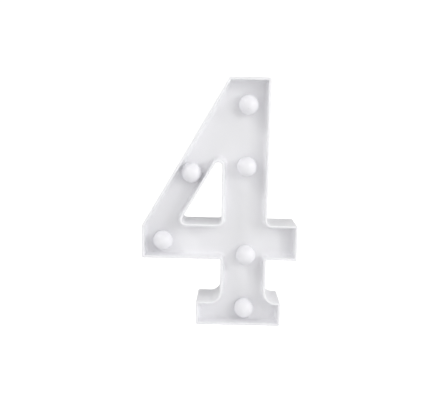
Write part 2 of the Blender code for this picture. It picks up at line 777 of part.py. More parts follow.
def thumb_cutter():
    """A shallow scoop above the door, for a fingernail."""
    z = BAY_MIDDLE + DOOR_LENGTH / 2
    return rod("thumb_scoop", STEM_MIDDLE, z, THUMB_RADIUS, BACK - THUMB_DEPTH, BACK + OVERRUN)


def tab_slot_cutters():
    """Slots in the bay's floor for the two lower contacts' tabs."""
    slots = []
    for side in (-1, 1):
        x = STEM_MIDDLE + side * CELL_SIDE
        half = TAB_WIDTH / 2 + CLEARANCE
        low = (x - half, BAY_FRONT - OVERRUN, BAY_LOW)
        high = (x + half, BAY_BASE + OVERRUN, BAY_LOW + CONTACT_THICKNESS + 2 * CLEARANCE)
        slots.append(box("tab_slot", low, high))
    return slots


def keyhole_cutters():
    x = STEM_MIDDLE
    low, high = KEYHOLE_HEIGHT, KEYHOLE_HEIGHT + KEYHOLE_RISE
    front, back = COVER_FRONT - OVERRUN, BACK + OVERRUN
    return [
        rod("keyhole_head", x, low, KEYHOLE_HEAD_RADIUS, front, back),
        rod("keyhole_end", x, high, KEYHOLE_SLOT_RADIUS, front, back, SMALL_STEPS),
        box("keyhole_slot", (x - KEYHOLE_SLOT_RADIUS, front, low), (x + KEYHOLE_SLOT_RADIUS, back, high)),
    ]


def switch_post_sides():
    return (STEM_MIDDLE - SWITCH_POST_SPACING / 2, STEM_MIDDLE + SWITCH_POST_SPACING / 2)


def switch_window_cutter():
    half_width = (KNOB_WIDTH + SWITCH_TRAVEL) / 2 + CLEARANCE
    half_height = KNOB_HEIGHT / 2 + CLEARANCE
    return box(
        "switch_window",
        (STEM_MIDDLE - half_width, COVER_FRONT - OVERRUN, SWITCH_HEIGHT - half_height),
        (STEM_MIDDLE + half_width, BACK + OVERRUN, SWITCH_HEIGHT + half_height))


def bay_rib():
    """A low rib that keeps the cells apart."""
    half = RIB_WIDTH / 2
    length = BAY_INNER_LENGTH / 2
    return box(
        "bay_rib",
        (STEM_MIDDLE - half, BAY_BASE - BAY_FLOOR / 2, BAY_MIDDLE - length / 2),
        (STEM_MIDDLE + half, BAY_BASE + RIB_HEIGHT, BAY_MIDDLE + length / 2))


def make_battery_door():
    """The door's own frame is at its middle, on its outer face, with local axes as the world's."""
    centre = Vector((STEM_MIDDLE, BACK, BAY_MIDDLE))
    loop = rounded_loop(door_corners(0))
    door = flat_solid("battery_door", (loop,), COVER_FRONT, BACK, COVER_WHITE)
    tongue_top = BAY_HIGH - CLEARANCE
    half = DOOR_TONGUE_WIDTH / 2
    tongue = box(
        "door_tongue",
        (STEM_MIDDLE - half, COVER_FRONT - DOOR_TONGUE_LENGTH, tongue_top - DOOR_TONGUE_THICKNESS),
        (STEM_MIDDLE + half, COVER_FRONT + COVER_THICKNESS / 2, tongue_top))
    grooves = []
    top = BAY_MIDDLE + DOOR_LENGTH / 2 - GRIP_INSET
    for number in range(GRIP_COUNT):
        z = top - number * GRIP_PITCH
        low = (STEM_MIDDLE - GRIP_WIDTH / 2, BACK - GRIP_DEPTH, z - GRIP_HEIGHT)
        high = (STEM_MIDDLE + GRIP_WIDTH / 2, BACK + OVERRUN, z)
        grooves.append(box(f"grip_{number + 1}", low, high))
    door.data.transform(Matrix.Translation(-centre))
    door.location = centre
    join(door, tongue)
    cut(door, *grooves)


# Screws

def screw_mesh():
    """Pan head towards local -Z, shank towards +Z, with a cross recess."""
    profile = [
        (0, SCREW_LENGTH),
        (SCREW_RADIUS, SCREW_LENGTH - SCREW_TIP),
        (SCREW_RADIUS, 0),
        (SCREW_HEAD_RADIUS, 0),
        (SCREW_HEAD_RADIUS, SCREW_HEAD_BEVEL - SCREW_HEAD_HEIGHT),
        (SCREW_HEAD_RADIUS - SCREW_HEAD_BEVEL, -SCREW_HEAD_HEIGHT),
        (0, -SCREW_HEAD_HEIGHT),
    ]
    screw = bpy.data.objects.new("screw", turned_mesh("screw", profile, SMALL_STEPS))
    PARTS.objects.link(screw)
    long, short = SCREW_SLOT_LENGTH / 2, SCREW_SLOT_WIDTH / 2
    base = SCREW_SLOT_DEPTH - SCREW_HEAD_HEIGHT
    top = -SCREW_HEAD_HEIGHT - OVERRUN
    slots = [
        box("slot_across", (-long, -short, top), (long, short, base)),
        box("slot_upright", (-short, -long, top), (short, long, base)),
    ]
    cut(screw, *slots)
    return fused(screw, *slots)


def switch_screw_mesh():
    """Head towards local +Z, shank towards -Z."""
    profile = [
        (0, SWITCH_SCREW_HEAD_HEIGHT),
        (SWITCH_SCREW_HEAD_RADIUS, SWITCH_SCREW_HEAD_HEIGHT),
        (SWITCH_SCREW_HEAD_RADIUS, 0),
        (SWITCH_SCREW_RADIUS, 0),
        (SWITCH_SCREW_RADIUS, SWITCH_SCREW_RADIUS - SWITCH_SCREW_LENGTH),
        (0, -SWITCH_SCREW_LENGTH),
    ]
    return turned_mesh("switch_screw", profile, SMALL_STEPS)


def make_screws():
    mesh = screw_mesh()
    for number, (x, z) in enumerate(POST_PLACES, 1):
        screw = add_object(f"cover_screw_{number}", mesh, STEEL)
        screw.location = (x, CUP_BASE + CLEARANCE, z)
        screw.rotation_euler = (math.pi / 2, 0, 0)
    mesh = switch_screw_mesh()
    for number, x in enumerate(switch_post_sides(), 1):
        screw = add_object(f"switch_screw_{number}", mesh, STEEL)
        screw.location = (x, SWITCH_PLATE_FRONT - CLEARANCE, SWITCH_HEIGHT)
        screw.rotation_euler = (math.pi / 2, 0, 0)


# Cells, contacts and springs

def make_cells():
    inner = CELL_RADIUS - CELL_EDGE
    can = CELL_LENGTH - NUB_HEIGHT
    profile = [
        (0, CELL_LENGTH),
        (NUB_RADIUS, CELL_LENGTH),
        (NUB_RADIUS, can),
        (inner, can),
        (CELL_RADIUS, can - CELL_EDGE),
        (CELL_RADIUS, CELL_EDGE),
        (inner, 0),
        (0, 0),
    ]
    mesh = turned_mesh("cell", profile, CELL_STEPS)
    first = add_object("battery_1", mesh, CELL_SLEEVE)
    lift = CONTACT_THICKNESS + SPRING_LENGTH + 3 * CLEARANCE
    first.location = (STEM_MIDDLE - CELL_SIDE, CELL_Y, BAY_LOW + lift)
    second = add_object("battery_2", mesh, CELL_SLEEVE)
    second.location = (STEM_MIDDLE + CELL_SIDE, CELL_Y, BAY_HIGH - lift)
    second.rotation_euler = (math.pi, 0, 0)


def contact_plate(name, x_low, x_high, z_low):
    half = CONTACT_SIZE / 2
    low = (x_low, CELL_Y - half, z_low)
    high = (x_high, CELL_Y + half, z_low + CONTACT_THICKNESS)
    return box(name, low, high, STEEL)


def make_contacts():
    half = CONTACT_SIZE / 2
    left, right = STEM_MIDDLE - CELL_SIDE, STEM_MIDDLE + CELL_SIDE
    z = BAY_LOW + CLEARANCE
    for name, x in (("contact_negative", left), ("contact_positive", right)):
        plate = contact_plate(name, x - half, x + half, z)
        low = (x - TAB_WIDTH / 2, TAB_END, z)
        high = (x + TAB_WIDTH / 2, CELL_Y, z + CONTACT_THICKNESS)
        join(plate, box("tab", low, high))
    contact_plate("contact_bridge", left - half, right + half, BAY_HIGH - CLEARANCE - CONTACT_THICKNESS)


def spring_points():
    """A coil that narrows upwards, its ends flat."""
    count = SPRING_TURNS * POINTS_A_TURN
    travel = SPRING_LENGTH - 2 * SPRING_WIRE
    points = []
    for step in range(count + 1):
        share = step / count
        angle = math.tau * SPRING_TURNS * share
        radius = SPRING_RADIUS - SPRING_WIRE - SPRING_TAPER * share
        rise = share * share * (3 - 2 * share)
        points.append((radius * math.cos(angle), radius * math.sin(angle), SPRING_WIRE + travel * rise))
    return points


def make_springs():
    mesh = wire_mesh("spring", spring_points(), SPRING_WIRE)
    lift = CONTACT_THICKNESS + 2 * CLEARANCE
    lower = add_object("spring_1", mesh, STEEL)
    lower.location = (STEM_MIDDLE - CELL_SIDE, CELL_Y, BAY_LOW + lift)
    upper = add_object("spring_2", mesh, STEEL)
    upper.location = (STEM_MIDDLE + CELL_SIDE, CELL_Y, BAY_HIGH - lift)
    upper.rotation_euler = (math.pi, 0, 0)


# Slide switch

def make_switch_body():
    half_height = SWITCH_BODY_HEIGHT / 2
    low, high = SWITCH_HEIGHT - half_height, SWITCH_HEIGHT + half_height
    half = SWITCH_PLATE_WIDTH / 2
    body = box(
        "switch_body",
        (STEM_MIDDLE - half, SWITCH_PLATE_FRONT, low),
        (STEM_MIDDLE + half, SWITCH_PLATE_BACK, high), SWITCH_BLACK)
    half = SWITCH_BODY_WIDTH / 2
    additions = [box(
        "switch_block",
        (STEM_MIDDLE - half, SWITCH_BODY_FRONT, low),
        (STEM_MIDDLE + half, SWITCH_PLATE_BACK - SWITCH_PLATE_THICKNESS / 2, high))]
    for step in (-1, 0, 1):
        x = STEM_MIDDLE + step * TERMINAL_SPACING
        half_width, half_thickness = TERMINAL_WIDTH / 2, TERMINAL_THICKNESS / 2
        additions.append(box(
            "terminal",
            (x - half_width, TERMINAL_END, SWITCH_HEIGHT - half_thickness),
            (x + half_width, SWITCH_BODY_FRONT + OVERRUN, SWITCH_HEIGHT + half_thickness)))
    half_width = (FOOTING_WIDTH + SWITCH_TRAVEL) / 2 + CLEARANCE
    half_height = FOOTING_HEIGHT / 2 + CLEARANCE
    slot_front = SWITCH_PLATE_BACK - FOOTING_DEPTH - CLEARANCE
    cuts = [box(
        "switch_slot",
        (STEM_MIDDLE - half_width, slot_front, SWITCH_HEIGHT - half_height),
        (STEM_MIDDLE + half_width, SWITCH_PLATE_BACK + OVERRUN, SWITCH_HEIGHT + half_height))]
    for x in switch_post_sides():
        cuts.append(rod(
            "switch_screw_hole", x, SWITCH_HEIGHT, SWITCH_SCREW_RADIUS + CLEARANCE,
            SWITCH_PLATE_FRONT - OVERRUN, SWITCH_PLATE_BACK + OVERRUN, SMALL_STEPS))
    join(body, *additions)
    cut(body, *cuts)


def make_switch_slider():
    """The slider rests at its off end; its own frame is at the knob's middle."""
    half_width, half_height = FOOTING_WIDTH / 2, FOOTING_HEIGHT / 2
    footing_back = SWITCH_PLATE_BACK
    slider = box(
        "switch_slider",
        (-half_width, SWITCH_PLATE_BACK - FOOTING_DEPTH, -half_height),
        (half_width, footing_back, half_height), SWITCH_BLACK)
    slider.location = (SLIDER_REST, 0, SWITCH_HEIGHT)
    half_width, half_height = KNOB_WIDTH / 2, KNOB_HEIGHT / 2
    end = BACK - KNOB_SETBACK
    knob = box(
        "knob",
        (SLIDER_REST - half_width, footing_back - FOOTING_DEPTH / 2, SWITCH_HEIGHT - half_height),
        (SLIDER_REST + half_width, end, SWITCH_HEIGHT + half_height))
    grooves = []
    for step in (-1, 0, 1):
        x = SLIDER_REST + step * 2 * KNOB_GROOVE_WIDTH
        half = KNOB_GROOVE_WIDTH / 2
        low = (x - half, end - KNOB_GROOVE_DEPTH, SWITCH_HEIGHT - half_height - OVERRUN)
        high = (x + half, end + OVERRUN, SWITCH_HEIGHT + half_height + OVERRUN)
        grooves.append(box("knob_groove", low, high))
    join(slider, knob)
    cut(slider, *grooves)


# Wires

def smooth_route(places):
    """Points on a smooth curve through the route's places, with no overshoot on a short span."""
    places = [Vector(place) for place in places]
    points = []
    last = len(places) - 1
    for index in range(last):
        start, end = places[index], places[index + 1]
        length = (end - start).length
        leave = (end - places[max(index - 1, 0)]).normalized() * length
        arrive = (places[min(index + 2, last)] - start).normalized() * length
        for step in range(POINTS_A_SPAN):
            share = step / POINTS_A_SPAN
            pull = leave * share * (1 - share) ** 2 - arrive * share ** 2 * (1 - share)
            rise = share * share * (3 - 2 * share)
            points.append(start.lerp(end, rise) + pull)
    points.append(places[-1])
    return points


def add_wire(name, places, radius, material):
    add_object(name, wire_mesh(name, smooth_route(places), radius), material)


def beside_leads(lamp, across, up, reach=0):
    """A place beside a lamp's leads: across or up by the gap that a wire's end keeps, and further."""
    half = LEAD_WIDTH / 2 + CLEARANCE
    x = lamp[0] + across * (LEAD_SPACING / 2 + half + reach)
    z = lamp[1] + up * (half + reach)
    return (x, WIRE_Y, z)


def twin_lead(name, start, start_way, end, end_way, *between):
    """A two-core lead from one lamp's leads to another's, leaving each straight."""
    straight = 4 * TWIN_RADIUS
    places = [
        beside_leads(start, *start_way),
        beside_leads(start, *start_way, straight),
        *between,
        beside_leads(end, *end_way, straight),
        beside_leads(end, *end_way),
    ]
    add_wire(name, places, TWIN_RADIUS, WIRE_CLEAR)


def halfway(first, second, sag=0):
    """A place halfway between two lamps' leads, sunk towards the face plate."""
    return ((first[0] + second[0]) / 2, WIRE_Y - sag, (first[1] + second[1]) / 2)


def make_wires():
    left, right, up, down = (-1, 0), (1, 0), (0, 1), (0, -1)
    twin_lead("wire_bar_upper", BAR_LAMP, up, UPPER_LAMP, down, halfway(BAR_LAMP, UPPER_LAMP, WIRE_SAG))
    twin_lead("wire_upper_top", UPPER_LAMP, up, TOP_LAMP, down, halfway(UPPER_LAMP, TOP_LAMP, WIRE_SAG))
    twin_lead("wire_bar_foot", BAR_LAMP, down, FOOT_LAMP, up, halfway(BAR_LAMP, FOOT_LAMP, WIRE_SAG))
    twin_lead("wire_bar_tip", BAR_LAMP, left, TIP_LAMP, right, halfway(BAR_LAMP, TIP_LAMP, WIRE_SAG))
    over = (STEM_LEFT, WIRE_Y, COUNTER_TOP)
    x, z = mid_limb((LIMB_LAMP[1] + COUNTER_TOP) / 2)
    twin_lead("wire_upper_limb", UPPER_LAMP, left, LIMB_LAMP, up, over, (x, WIRE_Y, z))
    make_supply_wires()


def make_supply_wires():
    """From the contacts to the lamps, the negative side through the switch."""
    start_y = (TAB_END + BAY_FRONT) / 2
    start_z = BAY_LOW
    negative, positive = STEM_MIDDLE - CELL_SIDE, STEM_MIDDLE + CELL_SIDE
    step = 4 * WIRE_RADIUS
    aside = beside_leads(BAR_LAMP, 1, 0, step)
    add_wire("wire_positive", [
        (positive, start_y, start_z),
        (positive, start_y, start_z - step),
        (positive, (start_y + WIRE_Y) / 2, (start_z + BAR_LAMP[1]) / 2),
        aside,
        beside_leads(BAR_LAMP, 1, 0),
    ], WIRE_RADIUS, WIRE_RED)
    end_y = TERMINAL_END - CLEARANCE
    middle_y = (start_y + end_y) / 2
    first, last = STEM_MIDDLE - TERMINAL_SPACING, STEM_MIDDLE + TERMINAL_SPACING
    add_wire("wire_negative", [
        (negative, start_y, start_z),
        (negative, start_y, start_z - step),
        (negative, middle_y, BAR_LAMP[1]),
        (first, middle_y, SWITCH_HEIGHT + step),
        (first, end_y - step, SWITCH_HEIGHT),
        (first, end_y, SWITCH_HEIGHT),
    ], WIRE_RADIUS, WIRE_BLACK)
    add_wire("wire_switched", [
        (last, end_y, SWITCH_HEIGHT),
        (last, end_y - step, SWITCH_HEIGHT),
        (last + 2 * step, middle_y, (SWITCH_HEIGHT + FOOT_LAMP[1]) / 2),
        beside_leads(FOOT_LAMP, 1, 0, step),
        beside_leads(FOOT_LAMP, 1, 0),
    ], WIRE_RADIUS, WIRE_BLACK)


make_walls()
make_face_plate()
make_lamps()
make_back_cover()
make_battery_door()
make_screws()
make_cells()
make_contacts()
make_springs()
make_switch_body()
make_switch_slider()
make_wires()
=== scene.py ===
"""Looks of the light-up marquee number four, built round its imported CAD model.

The numeral faces -Y and stands on its foot, +Z up. Lengths are metres.
"""
import math

import bmesh
import bpy
from mathutils import Matrix, Vector


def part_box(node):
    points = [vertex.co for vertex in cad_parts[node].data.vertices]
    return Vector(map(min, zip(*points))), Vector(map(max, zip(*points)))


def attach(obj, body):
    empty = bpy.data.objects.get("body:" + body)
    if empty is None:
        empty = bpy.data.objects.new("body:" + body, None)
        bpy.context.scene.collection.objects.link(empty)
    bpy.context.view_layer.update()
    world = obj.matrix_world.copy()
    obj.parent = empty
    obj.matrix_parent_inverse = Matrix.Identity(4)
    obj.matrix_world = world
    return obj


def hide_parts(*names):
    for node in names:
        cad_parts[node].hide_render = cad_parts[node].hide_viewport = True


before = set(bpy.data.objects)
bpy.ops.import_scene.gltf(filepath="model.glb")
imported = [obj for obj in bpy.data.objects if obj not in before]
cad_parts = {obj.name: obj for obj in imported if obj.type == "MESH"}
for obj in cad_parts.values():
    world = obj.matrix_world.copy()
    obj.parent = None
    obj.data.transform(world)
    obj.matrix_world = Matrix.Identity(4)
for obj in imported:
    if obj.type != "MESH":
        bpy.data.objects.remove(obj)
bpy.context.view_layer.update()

# Outline, as in the CAD model
HEIGHT = 0.220
DEPTH = 0.044
LEFT, RIGHT = -0.069, 0.069
STEM_LEFT, STEM_RIGHT = 0.0010, 0.0417
TOP_WIDTH = 0.0355
LIMB_WIDTH = 0.0275
BAR_BOTTOM, BAR_TOP = 0.0602, 0.0916
TIP_TOP = 0.0897
FOOT_LEFT, FOOT_RIGHT = -0.0203, 0.0557
FOOT_HEIGHT = 0.0213
CORNER_RADIUS = 0.0016
INNER_CORNER_RADIUS = 0.0015
ARM_FILLET = 0.0040
BRACKET_RADIUS = 0.0096
TIP_RADIUS = 0.0060
COUNTER_RADIUS = 0.0035
WALL = 0.0022
DRAFT = 0.0006
CLEARANCE = 0.0003

# Planes from the front to the back
FRONT = -DEPTH / 2
BACK = DEPTH / 2
FACE_FRONT = FRONT + 0.0145
FACE_BACK = FACE_FRONT + 0.0018
COVER_FRONT = BACK - 0.0018
CUP_FRONT = COVER_FRONT - 0.0020
CUP_BASE = CUP_FRONT + 0.0016
POST_END = CUP_FRONT - CLEARANCE
BAY_FLOOR = 0.0041

# Rounded edges
RIM_ROUND = 0.00095
BACK_ROUND = 0.0003
FLOOR_FILLET = 0.0030
EDGE_ROUND = 0.0004
HOLE_ROUND = 0.0002
BEVEL = 0.0002

# An outline's tightest corner and its widest hollow one, the tightest corner of small forms,
# and how far beside an edge a flat face is held flat
TIGHTEST = 0.0005
WIDEST = 0.0130
FINE = 0.0001
HOLD = 0.0001

# Fineness of the meshes, and the angle from which an edge is shaded sharp
ARC_STEP = math.radians(7.5)
CIRCLE_STEPS = 48
SHARP_ANGLE = math.radians(32)

# Globes with a neck that snaps into the face plate
GLOBE_RADIUS = 0.0088
GLOBE_WALL = 0.0010
GLOBE_CENTRE = FACE_FRONT - 0.0052
GLOBE_BANDS = 30
GLOBE_STEPS = 64
NECK_RADIUS = 0.0053
NECK_BORE = 0.0043
NECK_END = FACE_FRONT + 0.0045
NECK_ROUND = 0.0002
BARB_HEIGHT = 0.0005
BARB_LENGTH = 0.0007
LAMP_HOLE = NECK_RADIUS + CLEARANCE
LAMP_HOLE_ROUND = 0.0002

# Screw posts on the plate, their screws, and the cups in the cover
POST_RADIUS = 0.0030
POST_FLARE = 0.0003
POST_BORE = 0.0015
POST_BORE_DEPTH = 0.0100
SCREW_RADIUS = 0.0012
SCREW_LENGTH = 0.0100
SCREW_TIP_RADIUS = 0.0001
SCREW_TIP_LENGTH = 0.0016
SCREW_STEPS = 40
HEAD_RADIUS = 0.0023
HEAD_HEIGHT = 0.0014
HEAD_DOME = 0.0007
HEAD_EDGE = 0.0001
CROSS_REACH = 0.0013
CROSS_HALF_WIDTH = 0.0003
CROSS_DEPTH = 0.0008
CROSS_TAPER = 0.6
CUP_HOLE = 0.0015
CUP_RADIUS = 0.0040

# Keyhole, about the middle of its head
KEYHOLE_HEAD = 0.0042
KEYHOLE_SLOT = 0.0021
KEYHOLE_RISE = 0.0085

# Switch: its window and posts in the cover, and its knob
WINDOW_HALF_WIDTH = 0.00305
WINDOW_HALF_HEIGHT = 0.0014
WINDOW_CORNER = 0.0003
SWITCH_POST_SPACING = 0.0074
SWITCH_POST_RADIUS = 0.0022
SWITCH_POST_BORE = 0.0011
SWITCH_POST_HEIGHT = 0.0030
SWITCH_POST_STEPS = 32
KNOB_CORNER = 0.0003
KNOB_TIGHTEST = 0.00005
# Half width, half height and distance from the knob's inner end, then from its outer one
KNOB_FOOT = (
    (0.0016, 0.0009, 0), (0.0016, 0.0009, 0.0012), (0.00145, 0.00085, 0.0013),
    (0.00145, 0.00085, 0.0014), (0.0015, 0.0011, 0.0015))
KNOB_HEAD = ((0.0015, 0.0011, 0.0003), (0.00145, 0.00105, 0.0001), (0.0013, 0.0009, 0))
KNOB_GROOVE_PITCH = 0.0008
KNOB_GROOVE_HALF_WIDTH = 0.0002
KNOB_GROOVE_HALF_HEIGHT = 0.00075
KNOB_GROOVE_CORNER = 0.00006
KNOB_GROOVE_DEPTH = 0.0004

# Battery bay: the door's recess, the pocket and the block round it
DOOR_LEDGE = 0.0008
RECESS_DEPTH = 0.0009
RECESS_CORNER = 0.0018
# The recess is a hair wider than the opening under it, so that a strip of its floor shows all round
RECESS_SLACK = 0.00012
HAIR = 0.00002
SCOOP_REACH = 0.0060
SCOOP_CORNER = 0.0047
SCOOP_MOUTH_CORNER = 0.0006
POCKET_CORNER = 0.0006
BAY_WALL = 0.0012
BAY_OUTER_CORNER = 0.0008
BAY_BEVEL = 0.0003
TAB_SLOT_SPACING = 0.0073
TAB_SLOT_HALF_WIDTH = 0.00155
TAB_SLOT_START, TAB_SLOT_END = 0.0001, 0.0010
RIB_HALF_WIDTH = 0.0007
RIB_CORNER = 0.0005
RIB_TIGHTEST = 0.0002
RIB_HEIGHT = 0.0030
RIB_BEVEL = 0.0003
RIB_TAPER = 0.0001

# Battery door: its plate, grip grooves, arrow and tongue
DOOR_CORNER = 0.0015
DOOR_ROUND = 0.0003
GRIP_INSET = 0.0060
GRIP_COUNT = 4
GRIP_PITCH = 0.0020
GRIP_WIDTH = 0.0010
GRIP_HALF_LENGTH = 0.0070
GRIP_DEPTH = 0.0008
GRIP_CORNER = 0.00025
GRIP_ROUND = 0.00015
GRIP_TAPER = 0.0001
ARROW_START = 0.0100
ARROW_LENGTH = 0.0042
ARROW_HALF_WIDTH = 0.0030
ARROW_CORNER = 0.0003
ARROW_DEPTH = 0.0006
ARROW_EDGE = 0.00005
TONGUE_HALF_WIDTH = 0.0040
TONGUE_THICKNESS = 0.0010
TONGUE_CORNER = 0.0002
TONGUE_LENGTH = 0.0026
TONGUE_BEVEL = 0.0003

# Number of each cell and the way its positive end points, 1 for up
CELL_WAYS = ((1, 1), (2, -1))

# Cells: (radius, distance from the end) of the negative end and of the sleeve's curl at both ends
CELL_RADIUS = 0.00715
NEGATIVE_END = ((0.0040, 0.0), (0.0046, 0.0), (0.0048, 0.0003), (0.0058, 0.0003))
SLEEVE_CURL = ((0.0060, 0.0), (0.0066, 0.0), (0.0070, 0.0003), (CELL_RADIUS, 0.0008))
BAND_START = 0.0345
NUB_HEIGHT = 0.0010
NUB_RADIUS = 0.00275
NUB_EDGE = 0.0003
NUB_FOOT_RADIUS = 0.0031
SLEEVE_SLOT, BAND_SLOT, STEEL_SLOT = 0, 1, 2

# Springs on the cells' negative ends
SPRING_WIRE = 0.0003
SPRING_LENGTH = 0.0040
SPRING_RADIUS = 0.0040
SPRING_TAPER = 0.0012
SPRING_TURNS = 3
POINTS_PER_TURN = 28
WIRE_SIDES = 12

# Share of the noise, from low to high, over which a material varies, and a lead's darker shade
NOISE_LOW, NOISE_HIGH = 0.3, 0.7
WIRE_SHADE = 0.86

# Studio. Light: name, degrees to the right of the numeral's front and up, side and power
LIGHTS = (
    ("key", 66, 22, 0.30, 2.48),
    ("low_key", 45, 12, 0.20, 1.69),
    ("high_key", 30, 30, 0.20, 1.15),
    ("fill", -55, 45, 0.30, 2.82),
)
LIGHT_DISTANCE = 1.3
SKY_AT_SIDES, SKY_AT_TOP = 0.836, 0.146
BACKDROP = 1.05
FLOOR_RADIUS = 4.0
FLOOR_SIDES = 96
FLOOR_GLOW = 0.7

# Camera, as the corners of the photo's outline gave it
CAMERA_PLACE = (0.00441, -0.59457, 0.19245)
CAMERA_AHEAD = (-0.00814, 0.99029, -0.13878)
CAMERA_UP = (-0.02177, 0.13857, 0.99011)
CAMERA_LENS = 53.955
CAMERA_SENSOR = 36.0
CAMERA_NEAR = 0.01
WHITE = (1.0, 1.0, 1.0, 1.0)

# The sloping limb's run, rise and width along X, and the counter that follows it
RUN = STEM_RIGHT - TOP_WIDTH - LEFT
RISE = HEIGHT - TIP_TOP
ACROSS = LIMB_WIDTH * math.hypot(RISE, RUN) / RISE
COUNTER_LEFT = LEFT + (BAR_TOP - TIP_TOP) * RUN / RISE + ACROSS
COUNTER_TOP = BAR_TOP + (STEM_LEFT - COUNTER_LEFT) * RISE / RUN

# Corners (x, z, radius), anticlockwise from the front
NUMERAL_CORNERS = (
    (FOOT_LEFT, 0, CORNER_RADIUS),
    (FOOT_RIGHT, 0, CORNER_RADIUS),
    (FOOT_RIGHT, FOOT_HEIGHT, CORNER_RADIUS),
    (STEM_RIGHT, FOOT_HEIGHT, BRACKET_RADIUS),
    (STEM_RIGHT, BAR_BOTTOM, INNER_CORNER_RADIUS),
    (RIGHT, BAR_BOTTOM, CORNER_RADIUS),
    (RIGHT, BAR_TOP, CORNER_RADIUS),
    (STEM_RIGHT, BAR_TOP, ARM_FILLET),
    (STEM_RIGHT, HEIGHT, CORNER_RADIUS),
    (STEM_RIGHT - TOP_WIDTH, HEIGHT, CORNER_RADIUS),
    (LEFT, TIP_TOP, TIP_RADIUS),
    (LEFT, BAR_BOTTOM, CORNER_RADIUS),
    (STEM_LEFT, BAR_BOTTOM, INNER_CORNER_RADIUS),
    (STEM_LEFT, FOOT_HEIGHT, BRACKET_RADIUS),
    (FOOT_LEFT, FOOT_HEIGHT, CORNER_RADIUS),
)
COUNTER_CORNERS = (
    (COUNTER_LEFT, BAR_TOP, COUNTER_RADIUS),
    (STEM_LEFT, BAR_TOP, COUNTER_RADIUS),
    (STEM_LEFT, COUNTER_TOP, COUNTER_RADIUS),
)


# Places, taken from the CAD nodes

def middle(node):
    low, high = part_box(node)
    return (low + high) / 2


LAMPS = [middle(f"bulb_globe_{number}") for number in range(1, 7)]
SCREWS = [middle(f"cover_screw_{number}") for number in range(1, 8)]
STEM_MIDDLE = (STEM_LEFT + STEM_RIGHT) / 2
SWITCH_Z = middle("switch_body").z
KEYHOLE_Z = (LAMPS[0].z + LAMPS[1].z) / 2
DOOR_LOW, DOOR_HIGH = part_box("battery_door")
BAY = Vector(((DOOR_LOW.x + DOOR_HIGH.x) / 2, 0, (DOOR_LOW.z + DOOR_HIGH.z) / 2))
DOOR_HALF_WIDTH = (DOOR_HIGH.x - DOOR_LOW.x) / 2
DOOR_HALF_LENGTH = (DOOR_HIGH.z - DOOR_LOW.z) / 2
BAY_BASE = BAY_FLOOR + BAY_WALL


# Outlines in the XZ plane

def outline(corners, inset=0.0, draft=0.0, floor_side=None, least=TIGHTEST):
    """Points round corners whose sides are moved inwards, with a point held just off each arc."""
    places = [Vector(corner[:2]) for corner in corners]
    count = len(places)
    sides = []
    for index, start in enumerate(places):
        along = (places[(index + 1) % count] - start).normalized()
        shift = inset if index == floor_side else inset + draft
        sides.append((start + Vector((-along.y, along.x)) * shift, along))
    points = []
    for index in range(count):
        (point_a, before), (point_b, after) = sides[index - 1], sides[index]
        bend = before.x * after.y - before.y * after.x
        offset = point_b - point_a
        corner = point_a + before * ((offset.x * after.y - offset.y * after.x) / bend)
        radius = corners[index][2]
        radius = max(radius - inset if bend > 0 else min(radius + inset, WIDEST), least)
        turn = before.angle(after)
        reach = radius * math.tan(turn / 2)
        centre = corner + (after - before).normalized() * radius / math.cos(turn / 2)
        start = corner - before * reach
        steps = max(2, math.ceil(turn / ARC_STEP))
        points.append(start - before * HOLD)
        for step in range(steps + 1):
            angle = math.copysign(turn * step / steps, bend)
            points.append(centre + Matrix.Rotation(angle, 2) @ (start - centre))
        points.append(corner + after * (reach + HOLD))
    return points


def grown(corners, least=TIGHTEST):
    """The corners' outline for each growth outwards, whatever its y."""
    return lambda growth, y: outline(corners, -growth, least=least)


def draft_at(y):
    return DRAFT * (y - FRONT) / DEPTH


def numeral_outline(inset, y):
    return outline(NUMERAL_CORNERS, inset, draft_at(y), 0)


def counter_outline(inset, y):
    return outline(COUNTER_CORNERS, -inset, -draft_at(y))


def circle(x, z, radius, steps=CIRCLE_STEPS):
    angles = [math.tau * step / steps for step in range(steps)]
    return [Vector((x + radius * math.cos(angle), z + radius * math.sin(angle))) for angle in angles]


def block(left, right, low, high, radius):
    return ((left, low, radius), (right, low, radius), (right, high, radius), (left, high, radius))


def arc(across, y, radius, start, end, steps=5):
    """Points (across, y) on an arc, its angles in degrees."""
    points = []
    for step in range(steps + 1):
        angle = math.radians(start + (end - start) * step / steps)
        points.append((across + radius * math.cos(angle), y + radius * math.sin(angle)))
    return points


# Meshes made of rings, skinned or filled

def flat_ring(shape, points, y):
    return [shape.verts.new((point.x, y, point.y)) for point in points]


def skin(shape, rings, slot=0):
    for first, second in zip(rings, rings[1:]):
        count = len(first)
        for step in range(count):
            ahead = (step + 1) % count
            face = shape.faces.new((first[step], first[ahead], second[ahead], second[step]))
            face.material_index = slot


def fill(shape, rings):
    """A flat face between an outer ring and the rings inside it."""
    edges = []
    for loop in rings:
        for start, end in zip(loop, loop[1:] + loop[:1]):
            edges.append(shape.edges.get((start, end)) or shape.edges.new((start, end)))
    bmesh.ops.triangle_fill(shape, use_beauty=True, use_dissolve=False, edges=edges)


def cap(shape, loop, slot=0):
    face = shape.faces.new(loop)
    face.material_index = slot


def swept(shape, loop_at, profile):
    """Rings of an outline at each (inset, y) of a profile, skinned."""
    rings = [flat_ring(shape, loop_at(inset, y), y) for inset, y in profile]
    skin(shape, rings)
    return rings


def turned(shape, x, z, profile, steps=CIRCLE_STEPS):
    """Rings round an axis along Y at each (radius, y) of a profile, skinned."""
    rings = [flat_ring(shape, circle(x, z, radius, steps), y) for radius, y in profile]
    skin(shape, rings)
    return rings


